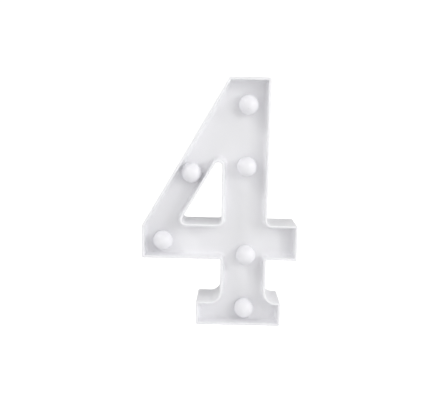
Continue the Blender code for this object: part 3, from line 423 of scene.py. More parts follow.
def piece(name, shape, body, slot, materials, *nodes):
    """A closed mesh as a named piece that rides on a body and stands for CAD nodes."""
    bmesh.ops.recalc_face_normals(shape, faces=shape.faces[:])
    mesh = bpy.data.meshes.new(name)
    shape.to_mesh(mesh)
    shape.free()
    mesh.shade_smooth()
    mesh.set_sharp_from_angle(angle=SHARP_ANGLE)
    for material in materials:
        mesh.materials.append(material)
    item = bpy.data.objects.new(name, mesh)
    bpy.context.scene.collection.objects.link(item)
    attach(item, body)
    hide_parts(*nodes)


# Materials

class Surface:
    """A node material whose colour, roughness and bump vary with noise in the piece's own space."""

    def __init__(self, name, colour, roughness, metallic=0.0):
        self.material = bpy.data.materials.new(name)
        self.material.use_nodes = True
        self.tree = self.material.node_tree
        self.shader = self.tree.nodes["Principled BSDF"]
        self.set("Base Color", (*colour, 1.0))
        self.set("Roughness", roughness)
        self.set("Metallic", metallic)
        self.place = self.node("ShaderNodeTexCoord").outputs["Object"]
        self.normal = None

    def set(self, socket, value):
        self.shader.inputs[socket].default_value = value

    def node(self, kind):
        return self.tree.nodes.new(kind)

    def link(self, output, to):
        self.tree.links.new(output, to)

    def noise(self, scale, detail, roughness=0.5, stretch=None):
        made = self.node("ShaderNodeTexNoise")
        made.inputs["Scale"].default_value = scale
        made.inputs["Detail"].default_value = detail
        made.inputs["Roughness"].default_value = roughness
        if stretch is None:
            self.link(self.place, made.inputs["Vector"])
        else:
            mapping = self.node("ShaderNodeMapping")
            mapping.inputs["Scale"].default_value = stretch
            self.link(self.place, mapping.inputs["Vector"])
            self.link(mapping.outputs["Vector"], made.inputs["Vector"])
        return made.outputs["Fac"]

    def spread(self, value, low, high, start=NOISE_LOW, end=NOISE_HIGH):
        """A value between start and end as a number between low and high."""
        made = self.node("ShaderNodeMapRange")
        made.inputs["From Min"].default_value = start
        made.inputs["From Max"].default_value = end
        made.inputs["To Min"].default_value = low
        made.inputs["To Max"].default_value = high
        self.link(value, made.inputs["Value"])
        return made.outputs["Result"]

    def vary_colour(self, first, second, value):
        ramp = self.node("ShaderNodeValToRGB")
        start, end = ramp.color_ramp.elements
        start.position = NOISE_LOW
        start.color = (*first, 1.0)
        end.position = NOISE_HIGH
        end.color = (*second, 1.0)
        self.link(value, ramp.inputs["Fac"])
        self.link(ramp.outputs["Color"], self.shader.inputs["Base Color"])

    def vary_roughness(self, value, low, high):
        self.link(self.spread(value, low, high), self.shader.inputs["Roughness"])

    def bump(self, value, depth, strength):
        made = self.node("ShaderNodeBump")
        made.inputs["Distance"].default_value = depth
        made.inputs["Strength"].default_value = strength
        self.link(value, made.inputs["Height"])
        if self.normal is not None:
            self.link(self.normal, made.inputs["Normal"])
        self.normal = made.outputs["Normal"]
        self.link(self.normal, self.shader.inputs["Normal"])

    def milky(self, weight, radius, scale):
        self.set("Subsurface Weight", weight)
        self.set("Subsurface Radius", radius)
        self.set("Subsurface Scale", scale)

    def coat(self, weight, roughness):
        self.set("Coat Weight", weight)
        self.set("Coat Roughness", roughness)


def shell_plastic():
    """Satin white moulded plastic, slightly cool, with faint flow and a fine orange peel."""
    surface = Surface("shell_white", colour=(0.942, 0.94, 0.967), roughness=0.34)
    surface.vary_colour((0.932, 0.93, 0.957), (0.952, 0.95, 0.976), surface.noise(scale=30, detail=4))
    surface.vary_roughness(surface.noise(scale=90, detail=4), low=0.29, high=0.40)
    surface.bump(surface.noise(scale=45, detail=2), depth=0.00025, strength=0.25)
    surface.bump(surface.noise(scale=1600, detail=2), depth=0.00002, strength=0.35)
    surface.milky(weight=0.4, radius=(1.0, 1.0, 1.0), scale=0.0027)
    return surface.material


def cover_plastic():
    """White plastic with a fine eroded mould texture."""
    surface = Surface("cover_white", colour=(0.88, 0.88, 0.892), roughness=0.5)
    surface.vary_colour((0.86, 0.86, 0.875), (0.895, 0.895, 0.907), surface.noise(scale=25, detail=4))
    surface.vary_roughness(surface.noise(scale=200, detail=3), low=0.42, high=0.58)
    surface.bump(surface.noise(scale=2600, detail=3, roughness=0.65), depth=0.00006, strength=0.55)
    surface.milky(weight=0.08, radius=(0.8, 0.8, 1.0), scale=0.0012)
    return surface.material


def globe_plastic():
    """Frosted translucent white, polished outside."""
    surface = Surface("globe_white", colour=(0.94, 0.935, 0.965), roughness=0.32)
    surface.vary_colour((0.925, 0.92, 0.952), (0.955, 0.95, 0.978), surface.noise(scale=70, detail=3))
    surface.vary_roughness(surface.noise(scale=160, detail=3), low=0.27, high=0.38)
    surface.bump(surface.noise(scale=120, detail=2), depth=0.00012, strength=0.2)
    surface.milky(weight=0.12, radius=(1.0, 0.97, 1.0), scale=0.0006)
    surface.coat(weight=0.25, roughness=0.13)
    return surface.material


def holder_plastic():
    """Plain white plastic, a little warm."""
    surface = Surface("holder_white", colour=(0.80, 0.80, 0.78), roughness=0.5)
    surface.vary_colour((0.77, 0.77, 0.75), (0.81, 0.81, 0.79), surface.noise(scale=150, detail=3))
    surface.vary_roughness(surface.noise(scale=300, detail=3), low=0.44, high=0.56)
    surface.bump(surface.noise(scale=1500, detail=2), depth=0.00003, strength=0.4)
    return surface.material


def diode_resin():
    """Clear resin over a yellow chip."""
    surface = Surface("diode_clear", colour=(0.90, 0.88, 0.74), roughness=0.08)
    surface.vary_colour((0.88, 0.86, 0.70), (0.92, 0.90, 0.78), surface.noise(scale=400, detail=2))
    surface.vary_roughness(surface.noise(scale=500, detail=2), low=0.05, high=0.12)
    surface.bump(surface.noise(scale=900, detail=2), depth=0.00002, strength=0.2)
    surface.set("Transmission Weight", 0.75)
    surface.set("IOR", 1.52)
    return surface.material


def nickel():
    """Bright nickel plate with fine drawn lines."""
    surface = Surface("steel", colour=(0.72, 0.72, 0.74), roughness=0.28, metallic=1.0)
    lines = surface.noise(scale=900, detail=3, roughness=0.6, stretch=(0.12, 1.0, 1.0))
    surface.vary_colour((0.66, 0.66, 0.68), (0.76, 0.76, 0.78), surface.noise(scale=260, detail=4))
    surface.vary_roughness(lines, low=0.20, high=0.40)
    surface.bump(lines, depth=0.00001, strength=0.4)
    return surface.material


def cell_print(name, colour, metallic, darker, lighter):
    """The cell's printed sleeve, with a slight metallic glint under its film."""
    surface = Surface(name, colour, roughness=0.35, metallic=metallic)
    surface.vary_colour(darker, lighter, surface.noise(scale=220, detail=4))
    surface.vary_roughness(surface.noise(scale=140, detail=4), low=0.28, high=0.42)
    surface.bump(surface.noise(scale=700, detail=2), depth=0.00002, strength=0.3)
    surface.coat(weight=0.6, roughness=0.18)
    return surface.material


def black_plastic():
    """The switch's black plastic, finely grained."""
    surface = Surface("switch_black", colour=(0.03, 0.03, 0.03), roughness=0.45)
    surface.vary_colour((0.022, 0.022, 0.023), (0.040, 0.040, 0.041), surface.noise(scale=300, detail=4))
    surface.vary_roughness(surface.noise(scale=500, detail=3), low=0.38, high=0.55)
    surface.bump(surface.noise(scale=2400, detail=3), depth=0.00003, strength=0.5)
    return surface.material


def wire_plastic(name, colour):
    """A lead's soft jacket."""
    surface = Surface(name, colour, roughness=0.45)
    darker = tuple(WIRE_SHADE * value for value in colour)
    surface.vary_colour(darker, colour, surface.noise(scale=240, detail=3))
    surface.vary_roughness(surface.noise(scale=400, detail=3), low=0.36, high=0.52)
    surface.bump(surface.noise(scale=1800, detail=2), depth=0.00002, strength=0.4)
    return surface.material


SHELL = shell_plastic()
COVER = cover_plastic()
GLOBE = globe_plastic()
HOLDER = holder_plastic()
DIODE = diode_resin()
STEEL = nickel()
SLEEVE = cell_print(
    "cell_sleeve", colour=(0.16, 0.17, 0.19), metallic=0.35,
    darker=(0.145, 0.155, 0.175), lighter=(0.175, 0.185, 0.205))
BAND = cell_print(
    "cell_band", colour=(0.62, 0.48, 0.30), metallic=0.7,
    darker=(0.58, 0.45, 0.28), lighter=(0.66, 0.52, 0.33))
BLACK = black_plastic()
WIRE_RED = wire_plastic("wire_red", (0.55, 0.03, 0.03))
WIRE_BLACK = wire_plastic("wire_black", (0.03, 0.03, 0.03))
WIRE_CLEAR = wire_plastic("wire_clear", (0.80, 0.80, 0.76))


# Shell: the tray in one piece

def wall_profile():
    """From the face plate's front, over the rim, round the back and to the face plate's hidden side."""
    return [
        (WALL + FLOOR_FILLET + HOLD, FACE_FRONT),
        *arc(WALL + FLOOR_FILLET, FACE_FRONT - FLOOR_FILLET, FLOOR_FILLET, 90, 180),
        (WALL, FACE_FRONT - FLOOR_FILLET - HOLD),
        (WALL, FRONT + RIM_ROUND + HOLD),
        *arc(WALL - RIM_ROUND, FRONT + RIM_ROUND, RIM_ROUND, 0, -90),
        (WALL - RIM_ROUND - HOLD, FRONT),
        (RIM_ROUND + HOLD, FRONT),
        *arc(RIM_ROUND, FRONT + RIM_ROUND, RIM_ROUND, -90, -180),
        (0, FRONT + RIM_ROUND + HOLD),
        (0, BACK - BACK_ROUND - HOLD),
        *arc(BACK_ROUND, BACK - BACK_ROUND, BACK_ROUND, 180, 90, steps=3),
        (BACK_ROUND + HOLD, BACK),
        (WALL - BACK_ROUND - HOLD, BACK),
        *arc(WALL - BACK_ROUND, BACK - BACK_ROUND, BACK_ROUND, 90, 0, steps=3),
        (WALL, BACK - BACK_ROUND - HOLD),
        (WALL, FACE_BACK + HOLD),
        (WALL, FACE_BACK),
        (WALL + HOLD, FACE_BACK),
    ]


def make_shell():
    shape = bmesh.new()
    fronts, backs = [], []
    for loop_at in (numeral_outline, counter_outline):
        rings = swept(shape, loop_at, wall_profile())
        fronts.append(rings[0])
        backs.append(rings[-1])
    mouth = LAMP_HOLE + LAMP_HOLE_ROUND
    for lamp in LAMPS:
        rings = turned(shape, lamp.x, lamp.z, [
            (mouth + HOLD, FACE_FRONT),
            *arc(mouth, FACE_FRONT + LAMP_HOLE_ROUND, LAMP_HOLE_ROUND, -90, -180, steps=3),
            (LAMP_HOLE, FACE_BACK),
        ])
        fronts.append(rings[0])
        backs.append(rings[-1])
    for screw in SCREWS:
        rings = turned(shape, screw.x, screw.z, [
            (POST_RADIUS + POST_FLARE + HOLD, FACE_BACK),
            *arc(POST_RADIUS + POST_FLARE, FACE_BACK + POST_FLARE, POST_FLARE, -90, -180, steps=3),
            (POST_RADIUS, POST_END - BEVEL),
            (POST_RADIUS - BEVEL, POST_END),
            (POST_BORE + BEVEL, POST_END),
            (POST_BORE, POST_END - BEVEL),
            (POST_BORE, POST_END - POST_BORE_DEPTH),
        ])
        backs.append(rings[0])
        cap(shape, rings[-1])
    fill(shape, fronts)
    fill(shape, backs)
    piece("shell", shape, "root", "shell", [SHELL], "side_wall", "counter_wall", "face_plate")


# Lamps

def globe_profile():
    """Down the outside from the pole, round the neck and its barb, and up the inside: (radius, y)."""
    base = FACE_FRONT - CLEARANCE
    lip = base + HOLD
    barb = FACE_BACK + CLEARANCE
    last = math.acos((GLOBE_CENTRE - base) / GLOBE_RADIUS)
    outside = []
    for band in range(1, GLOBE_BANDS + 1):
        angle = last * band / GLOBE_BANDS
        outside.append((GLOBE_RADIUS * math.sin(angle), GLOBE_CENTRE - GLOBE_RADIUS * math.cos(angle)))
    hollow = GLOBE_RADIUS - GLOBE_WALL
    first = math.acos((GLOBE_CENTRE - base + GLOBE_WALL) / hollow)
    inside = []
    for band in range(GLOBE_BANDS, 0, -1):
        angle = first * band / GLOBE_BANDS
        inside.append((hollow * math.sin(angle), GLOBE_CENTRE - hollow * math.cos(angle)))
    return [
        *outside,
        (outside[-1][0] - NECK_ROUND, lip),
        (NECK_RADIUS + NECK_ROUND, lip),
        (NECK_RADIUS, FACE_FRONT),
        (NECK_RADIUS, barb),
        (NECK_RADIUS + BARB_HEIGHT, barb + HOLD),
        (NECK_RADIUS + BARB_HEIGHT, barb + BARB_LENGTH),
        (NECK_RADIUS - BARB_HEIGHT, NECK_END),
        (NECK_BORE, NECK_END),
        (NECK_BORE, base - GLOBE_WALL),
        *inside,
    ]


def make_globes():
    for number, lamp in enumerate(LAMPS, 1):
        shape = bmesh.new()
        rings = turned(shape, lamp.x, lamp.z, globe_profile(), steps=GLOBE_STEPS)
        cap(shape, rings[0])
        cap(shape, rings[-1])
        piece(f"globe_{number}", shape, "root", "globe", [GLOBE], f"bulb_globe_{number}")


# Back cover

def around_bay(margin, radius):
    """Corners of a block round the middle of the bay, that far beyond the door's edges."""
    half_width, half_length = DOOR_HALF_WIDTH + margin, DOOR_HALF_LENGTH + margin
    return block(BAY.x - half_width, BAY.x + half_width, BAY.z - half_length, BAY.z + half_length, radius)


def recess_corners():
    """The door's recess with a thumb scoop above it."""
    corners = around_bay(CLEARANCE + RECESS_SLACK, RECESS_CORNER)
    top = corners[2][1]
    scoop = (
        (BAY.x + SCOOP_REACH, top, SCOOP_MOUTH_CORNER),
        (BAY.x + SCOOP_REACH, top + SCOOP_REACH, SCOOP_CORNER),
        (BAY.x - SCOOP_REACH, top + SCOOP_REACH, SCOOP_CORNER),
        (BAY.x - SCOOP_REACH, top, SCOOP_MOUTH_CORNER),
    )
    return (*corners[:3], *scoop, corners[3])


def keyhole(growth, y):
    """A slot that rises from a round head, whatever its y."""
    head, slot = KEYHOLE_HEAD + growth, KEYHOLE_SLOT + growth
    points = []
    steps = CIRCLE_STEPS // 2
    for step in range(steps + 1):
        angle = math.pi * step / steps
        points.append(Vector((slot * math.cos(angle), KEYHOLE_RISE + slot * math.sin(angle))))
    meet = math.acos(slot / head)
    steps = CIRCLE_STEPS
    for step in range(steps + 1):
        angle = math.pi - meet + (math.pi + 2 * meet) * step / steps
        points.append(Vector((head * math.cos(angle), head * math.sin(angle))))
    return [point + Vector((STEM_MIDDLE, KEYHOLE_Z)) for point in points]


def edge_profile():
    """Round the cover's edge, from its outer face to its inner one."""
    edge = WALL + CLEARANCE
    return [
        (edge + EDGE_ROUND + HOLD, BACK),
        *arc(edge + EDGE_ROUND, BACK - EDGE_ROUND, EDGE_ROUND, 90, 180, steps=4),
        (edge, BACK - EDGE_ROUND - HOLD),
        (edge, COVER_FRONT),
    ]


def hole_profile(depth_end):
    """(growth, y) from the outer face into a hole, its edge rounded."""
    return [
        (HOLE_ROUND + HOLD, BACK),
        *arc(HOLE_ROUND, BACK - HOLE_ROUND, HOLE_ROUND, 90, 180, steps=3),
        (0, BACK - HOLE_ROUND - HOLD),
        (0, depth_end),
    ]


def make_cover():
    shape = bmesh.new()
    outer, inner = [], []
    window = block(
        STEM_MIDDLE - WINDOW_HALF_WIDTH, STEM_MIDDLE + WINDOW_HALF_WIDTH,
        SWITCH_Z - WINDOW_HALF_HEIGHT, SWITCH_Z + WINDOW_HALF_HEIGHT, WINDOW_CORNER)
    through = (
        (numeral_outline, edge_profile()), (counter_outline, edge_profile()),
        (keyhole, hole_profile(COVER_FRONT)), (grown(window, WINDOW_CORNER), hole_profile(COVER_FRONT)))
    for loop_at, profile in through:
        rings = swept(shape, loop_at, profile)
        outer.append(rings[0])
        inner.append(rings[-1])
    # Screw cups
    for screw in SCREWS:
        rings = turned(shape, screw.x, screw.z, [
            *[(HEAD_RADIUS + CLEARANCE + growth, y) for growth, y in hole_profile(CUP_BASE)],
            (CUP_HOLE, CUP_BASE),
            (CUP_HOLE, CUP_FRONT),
            (CUP_RADIUS - BEVEL, CUP_FRONT),
            (CUP_RADIUS, CUP_FRONT + BEVEL),
            (CUP_RADIUS, COVER_FRONT),
        ])
        outer.append(rings[0])
        inner.append(rings[-1])
    make_bay(shape, outer, inner)
    # Posts for the switch
    front = COVER_FRONT - SWITCH_POST_HEIGHT
    for side in (-1, 1):
        rings = turned(shape, STEM_MIDDLE + side * SWITCH_POST_SPACING, SWITCH_Z, [
            (SWITCH_POST_RADIUS, COVER_FRONT),
            (SWITCH_POST_RADIUS, front + BEVEL),
            (SWITCH_POST_RADIUS - BEVEL, front),
            (SWITCH_POST_BORE, front),
            (SWITCH_POST_BORE, COVER_FRONT),
        ], steps=SWITCH_POST_STEPS)
        inner.append(rings[0])
        cap(shape, rings[-1])
    fill(shape, outer)
    fill(shape, inner)
    piece("cover", shape, "root", "cover", [COVER], "back_cover")


def make_bay(shape, outer, inner):
    """The door's recess, the bay's pocket with its rib and tab slots, and the block round it."""
    recess_y = BACK - RECESS_DEPTH
    rings = swept(shape, grown(recess_corners()), [*hole_profile(recess_y), (-HAIR, recess_y)])
    outer.append(rings[0])
    recess_floor = rings[-1]
    ledge_y = COVER_FRONT - CLEARANCE
    opening = around_bay(CLEARANCE - HAIR, RECESS_CORNER)
    rings = swept(shape, grown(opening), [(0, recess_y), (0, ledge_y)])
    fill(shape, [recess_floor, rings[0]])
    pocket = around_bay(-DOOR_LEDGE, POCKET_CORNER)
    walls = swept(shape, grown(pocket), [(BEVEL, ledge_y), (0, ledge_y - BEVEL), (0, BAY_BASE)])
    fill(shape, [rings[-1], walls[0]])
    floor, under = [walls[-1]], []
    low = BAY.z - DOOR_HALF_LENGTH + DOOR_LEDGE
    for side in (-1, 1):
        x = BAY.x + side * TAB_SLOT_SPACING
        slot = block(
            x - TAB_SLOT_HALF_WIDTH, x + TAB_SLOT_HALF_WIDTH, low + TAB_SLOT_START, low + TAB_SLOT_END, FINE)
        rings = swept(shape, grown(slot, FINE), [(0, BAY_BASE), (0, BAY_FLOOR)])
        floor.append(rings[0])
        under.append(rings[-1])
    half = (DOOR_HALF_LENGTH - DOOR_LEDGE) / 2
    rib = block(BAY.x - RIB_HALF_WIDTH, BAY.x + RIB_HALF_WIDTH, BAY.z - half, BAY.z + half, RIB_CORNER)
    rings = swept(shape, grown(rib, RIB_TIGHTEST), [
        (0, BAY_BASE), (-RIB_TAPER, BAY_BASE + RIB_HEIGHT - BEVEL), (-RIB_BEVEL, BAY_BASE + RIB_HEIGHT)])
    floor.append(rings[0])
    cap(shape, rings[-1])
    fill(shape, floor)
    outside = around_bay(CLEARANCE + BAY_WALL, BAY_OUTER_CORNER)
    rings = swept(shape, grown(outside), [
        (-BAY_BEVEL, BAY_FLOOR), (0, BAY_FLOOR + BAY_BEVEL), (0, COVER_FRONT)])
    fill(shape, [rings[0], *under])
    inner.append(rings[-1])


def make_door():
    shape = bmesh.new()
    plate = around_bay(0, DOOR_CORNER)
    rings = swept(shape, grown(plate), [
        (-DOOR_ROUND - HOLD, BACK),
        *[(-inset, y) for inset, y in arc(DOOR_ROUND, BACK - DOOR_ROUND, DOOR_ROUND, 90, 180, steps=4)],
        (0, BACK - DOOR_ROUND - HOLD),
        (0, COVER_FRONT + BEVEL),
        (-BEVEL, COVER_FRONT),
    ])
    outer, inner = [rings[0]], [rings[-1]]
    top = BAY.z + DOOR_HALF_LENGTH - GRIP_INSET
    for number in range(GRIP_COUNT):
        z = top - number * GRIP_PITCH
        groove = block(BAY.x - GRIP_HALF_LENGTH, BAY.x + GRIP_HALF_LENGTH, z - GRIP_WIDTH, z, GRIP_CORNER)
        rings = swept(shape, grown(groove, FINE), [
            (GRIP_ROUND + HOLD, BACK),
            *arc(GRIP_ROUND, BACK - GRIP_ROUND, GRIP_ROUND, 90, 180, steps=3),
            (-GRIP_TAPER, BACK - GRIP_DEPTH + GRIP_TAPER),
            (-2 * GRIP_TAPER, BACK - GRIP_DEPTH)])
        outer.append(rings[0])
        cap(shape, rings[-1])
    # A sunk arrow towards the tongue
    point = top - ARROW_START
    arrow = (
        (BAY.x - ARROW_HALF_WIDTH, point - ARROW_LENGTH, ARROW_CORNER),
        (BAY.x + ARROW_HALF_WIDTH, point - ARROW_LENGTH, ARROW_CORNER),
        (BAY.x, point, ARROW_CORNER))
    rings = swept(shape, grown(arrow, FINE), [
        (ARROW_EDGE + HOLD, BACK), (ARROW_EDGE, BACK), (0, BACK - 2 * ARROW_EDGE), (0, BACK - ARROW_DEPTH)])
    outer.append(rings[0])
    cap(shape, rings[-1])
    edge = BAY.z + DOOR_HALF_LENGTH - DOOR_LEDGE - CLEARANCE
    tongue = block(
        BAY.x - TONGUE_HALF_WIDTH, BAY.x + TONGUE_HALF_WIDTH, edge - TONGUE_THICKNESS, edge, TONGUE_CORNER)
    rings = swept(shape, grown(tongue, FINE), [
        (0, COVER_FRONT),
        (0, COVER_FRONT - TONGUE_LENGTH + TONGUE_BEVEL),
        (-TONGUE_BEVEL, COVER_FRONT - TONGUE_LENGTH)])
    inner.append(rings[0])
    cap(shape, rings[-1])
    fill(shape, outer)
    fill(shape, inner)
    piece("door", shape, "battery_door", "cover", [COVER], "battery_door")


# Screws, cells and springs

def cross(x, z, scale):
    """The outline of a cross recess."""
    long, short = CROSS_REACH * scale, CROSS_HALF_WIDTH
    points = [
        (short, -long), (short, -short), (long, -short), (long, short), (short, short), (short, long),
        (-short, long), (-short, short), (-long, short), (-long, -short), (-short, -short), (-short, -long)]
    return [Vector((x + across, z + up)) for across, up in points]


def make_screws():
    seat = CUP_BASE + CLEARANCE
    top = seat + HEAD_HEIGHT
    shoulder = HEAD_RADIUS - HEAD_DOME
    for number, screw in enumerate(SCREWS, 1):
        shape = bmesh.new()
        rings = turned(shape, screw.x, screw.z, [
            (SCREW_TIP_RADIUS, seat - SCREW_LENGTH),
            (SCREW_RADIUS, seat - SCREW_LENGTH + SCREW_TIP_LENGTH),
            (SCREW_RADIUS, seat),
            (HEAD_RADIUS - HEAD_EDGE, seat),
            (HEAD_RADIUS, seat + HEAD_EDGE),
            *arc(shoulder, top - HEAD_DOME, HEAD_DOME, 0, 90),
            (shoulder - HOLD, top),
        ], steps=SCREW_STEPS)
        cap(shape, rings[0])
        mouth = flat_ring(shape, cross(screw.x, screw.z, 1.0), top)
        bottom = flat_ring(shape, cross(screw.x, screw.z, CROSS_TAPER), top - CROSS_DEPTH)
        skin(shape, [mouth, bottom])
        cap(shape, bottom)
        fill(shape, [rings[-1], mouth])
        piece(f"screw_{number}", shape, "root", "steel", [STEEL], f"cover_screw_{number}")


def cell_profile(length):
    """(radius, height, slot from there on), from the negative end to the top of the nub."""
    can = length - NUB_HEIGHT
    groove_radius, groove_depth = NEGATIVE_END[-1]
    return [
        *[(across, height, STEEL_SLOT) for across, height in NEGATIVE_END],
        *[(across, height, SLEEVE_SLOT) for across, height in SLEEVE_CURL],
        (CELL_RADIUS, BAND_START, BAND_SLOT),
        *[(across, can - height, BAND_SLOT) for across, height in reversed(SLEEVE_CURL[1:])],
        (SLEEVE_CURL[0][0], can, STEEL_SLOT),
        (groove_radius, can - groove_depth, STEEL_SLOT),
        (NUB_FOOT_RADIUS, can - groove_depth, STEEL_SLOT),
        (NUB_RADIUS, can, STEEL_SLOT),
        (NUB_RADIUS, length - NUB_EDGE, STEEL_SLOT),
        (NUB_RADIUS - NUB_EDGE, length, STEEL_SLOT),
    ]


def make_cells():
    """Cells with a curled sleeve, bare steel ends and a positive nub; the second is upside down."""
    for number, up in CELL_WAYS:
        low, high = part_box(f"battery_{number}")
        centre = (low + high) / 2
        foot = low.z if up == 1 else high.z
        profile = cell_profile(high.z - low.z)
        shape = bmesh.new()
        rings = []
        for across, height, slot in profile:
            places = circle(centre.x, centre.y, across)
            rings.append([shape.verts.new((place.x, place.y, foot + up * height)) for place in places])
        for first, second, (across, height, slot) in zip(rings, rings[1:], profile):
            skin(shape, [first, second], slot)
        cap(shape, rings[0], STEEL_SLOT)
        cap(shape, rings[-1], STEEL_SLOT)
        piece(f"cell_{number}", shape, "root", "cell", [SLEEVE, BAND, STEEL], f"battery_{number}")


def tube(shape, points, radius):
    """A closed round wire along points, its ends capped."""
    rings = []
    across = None
    for index, point in enumerate(points):
        ahead = points[min(index + 1, len(points) - 1)] - points[max(index - 1, 0)]
        ahead.normalize()
        if across is None:
            across = ahead.orthogonal().normalized()
        across = (across - ahead * across.dot(ahead)).normalized()
        other = ahead.cross(across)
        ring = []
        for side in range(WIRE_SIDES):
            angle = math.tau * side / WIRE_SIDES
            spoke = across * math.cos(angle) + other * math.sin(angle)
            ring.append(shape.verts.new(point + radius * spoke))
        rings.append(ring)
    skin(shape, rings)
    cap(shape, rings[0])
    cap(shape, rings[-1])


def make_springs():
    """Conical springs with closed end turns, on the cells' negative ends."""
    count = SPRING_TURNS * POINTS_PER_TURN
    for number, up in CELL_WAYS:
        low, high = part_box(f"spring_{number}")
        centre = middle(f"battery_{number}")
        foot = low.z if up == 1 else high.z
        points = []
        for step in range(count + 1):
            share = step / count
            angle = math.tau * SPRING_TURNS * share
            radius = SPRING_RADIUS - SPRING_WIRE - SPRING_TAPER * share
            rise = share * share * (3 - 2 * share)
            height = SPRING_WIRE + (SPRING_LENGTH - 2 * SPRING_WIRE) * rise
            points.append(Vector((
                centre.x + radius * math.cos(angle),
                centre.y + up * radius * math.sin(angle),
                foot + up * height)))
        shape = bmesh.new()
        tube(shape, points, SPRING_WIRE)
        piece(f"spring_coil_{number}", shape, "root", "steel", [STEEL], f"spring_{number}")


def make_slider():
    """The switch's knob, with a foot inside the switch and three grip grooves."""
    low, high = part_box("switch_slider")
    x = (low.x + high.x) / 2
    z = (low.z + high.z) / 2
    shape = bmesh.new()
    sections = [(width, height, low.y + distance) for width, height, distance in KNOB_FOOT]
    sections += [(width, height, high.y - distance) for width, height, distance in KNOB_HEAD]
    rings = []
    for width, height, y in sections:
        corners = block(x - width, x + width, z - height, z + height, KNOB_CORNER)
        rings.append(flat_ring(shape, outline(corners, least=KNOB_TIGHTEST), y))
    skin(shape, rings)
    cap(shape, rings[0])
    tops = [rings[-1]]
    for step in (-1, 0, 1):
        across = x + step * KNOB_GROOVE_PITCH
        groove = block(
            across - KNOB_GROOVE_HALF_WIDTH, across + KNOB_GROOVE_HALF_WIDTH,
            z - KNOB_GROOVE_HALF_HEIGHT, z + KNOB_GROOVE_HALF_HEIGHT, KNOB_GROOVE_CORNER)
        pocket = swept(shape, grown(groove, KNOB_TIGHTEST), [(0, high.y), (0, high.y - KNOB_GROOVE_DEPTH)])
        tops.append(pocket[0])
        cap(shape, pocket[-1])
    fill(shape, tops)
    piece("slider", shape, "switch_slider", "switch", [BLACK], "switch_slider")


# CAD nodes that keep their shape, by the start of their names
KEPT = {
    "led_holder": HOLDER, "led": DIODE, "switch_screw": STEEL, "contact": STEEL, "switch_body": BLACK,
    "wire_positive": WIRE_RED, "wire_negative": WIRE_BLACK, "wire_switched": WIRE_BLACK,
    "wire_bar": WIRE_CLEAR, "wire_upper": WIRE_CLEAR,
}


def dress_kept_nodes():
    for name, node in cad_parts.items():
        matches = [start for start in KEPT if name.startswith(start)]
        if matches and not node.hide_render:
            material = KEPT[max(matches, key=len)]
            for slot in node.material_slots:
                slot.material = material


# Floor, light and camera

def make_floor():
    """A pale floor, as white to the camera as the backdrop, without lighting the numeral more."""
    bpy.ops.mesh.primitive_circle_add(
        vertices=FLOOR_SIDES, radius=FLOOR_RADIUS, fill_type='NGON', location=(0, 0, 0))
    floor = bpy.context.object
    floor.name = "floor"
    surface = Surface("floor_white", colour=(0.93, 0.93, 0.93), roughness=0.9)
    surface.vary_colour((0.925, 0.925, 0.925), (0.935, 0.935, 0.935), surface.noise(scale=2, detail=2))
    path = surface.node("ShaderNodeLightPath")
    surface.set("Emission Color", WHITE)
    glow = surface.spread(path.outputs["Is Camera Ray"], low=0.0, high=FLOOR_GLOW, start=0.0, end=1.0)
    surface.link(glow, surface.shader.inputs["Emission Strength"])
    floor.data.materials.append(surface.material)


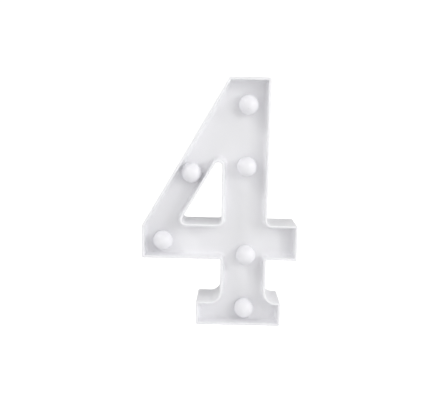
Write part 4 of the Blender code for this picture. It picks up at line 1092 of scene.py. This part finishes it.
def make_world():
    """A pale studio: a bright backdrop for the camera, softer light from all sides, little from the top."""
    world = bpy.data.worlds.new("studio")
    bpy.context.scene.world = world
    world.use_nodes = True
    tree = world.node_tree
    background = tree.nodes["Background"]
    background.inputs["Color"].default_value = WHITE
    place = tree.nodes.new("ShaderNodeTexCoord")
    parts = tree.nodes.new("ShaderNodeSeparateXYZ")
    square = tree.nodes.new("ShaderNodeMath")
    square.operation = 'MULTIPLY'
    level = tree.nodes.new("ShaderNodeMapRange")
    level.inputs["To Min"].default_value = SKY_AT_SIDES
    level.inputs["To Max"].default_value = SKY_AT_TOP
    tree.links.new(place.outputs["Generated"], parts.inputs["Vector"])
    tree.links.new(parts.outputs["Z"], square.inputs[0])
    tree.links.new(parts.outputs["Z"], square.inputs[1])
    tree.links.new(square.outputs["Value"], level.inputs["Value"])
    tree.links.new(level.outputs["Result"], background.inputs["Strength"])
    bright = tree.nodes.new("ShaderNodeBackground")
    bright.inputs["Color"].default_value = WHITE
    bright.inputs["Strength"].default_value = BACKDROP
    path = tree.nodes.new("ShaderNodeLightPath")
    mix = tree.nodes.new("ShaderNodeMixShader")
    tree.links.new(path.outputs["Is Camera Ray"], mix.inputs["Fac"])
    tree.links.new(background.outputs["Background"], mix.inputs[1])
    tree.links.new(bright.outputs["Background"], mix.inputs[2])
    tree.links.new(mix.outputs["Shader"], tree.nodes["World Output"].inputs["Surface"])


def soft_light(name, azimuth, elevation, size, power):
    """A square light that looks at the numeral's middle; angles in degrees."""
    data = bpy.data.lights.new(name, 'AREA')
    data.shape = 'SQUARE'
    data.size = size
    data.energy = power
    light = bpy.data.objects.new(name, data)
    bpy.context.scene.collection.objects.link(light)
    around, up = math.radians(azimuth), math.radians(elevation)
    away = Vector((math.sin(around) * math.cos(up), -math.cos(around) * math.cos(up), math.sin(up)))
    light.location = Vector((0, 0, HEIGHT / 2)) + LIGHT_DISTANCE * away
    light.rotation_euler = away.to_track_quat('Z', 'Y').to_euler()


def make_camera():
    data = bpy.data.cameras.new("camera")
    data.sensor_fit = 'HORIZONTAL'
    data.sensor_width = CAMERA_SENSOR
    data.lens = CAMERA_LENS
    data.clip_start = CAMERA_NEAR
    camera = bpy.data.objects.new("camera", data)
    bpy.context.scene.collection.objects.link(camera)
    ahead = Vector(CAMERA_AHEAD).normalized()
    right = ahead.cross(Vector(CAMERA_UP)).normalized()
    up = right.cross(ahead)
    turn = Matrix((right, up, -ahead)).transposed().to_4x4()
    camera.matrix_world = Matrix.Translation(CAMERA_PLACE) @ turn
    bpy.context.scene.camera = camera


make_shell()
make_globes()
make_cover()
make_door()
make_screws()
make_cells()
make_springs()
make_slider()
dress_kept_nodes()

bpy.context.scene.view_settings.view_transform = 'Standard'
make_floor()
make_world()
for light in LIGHTS:
    soft_light(*light)
make_camera()
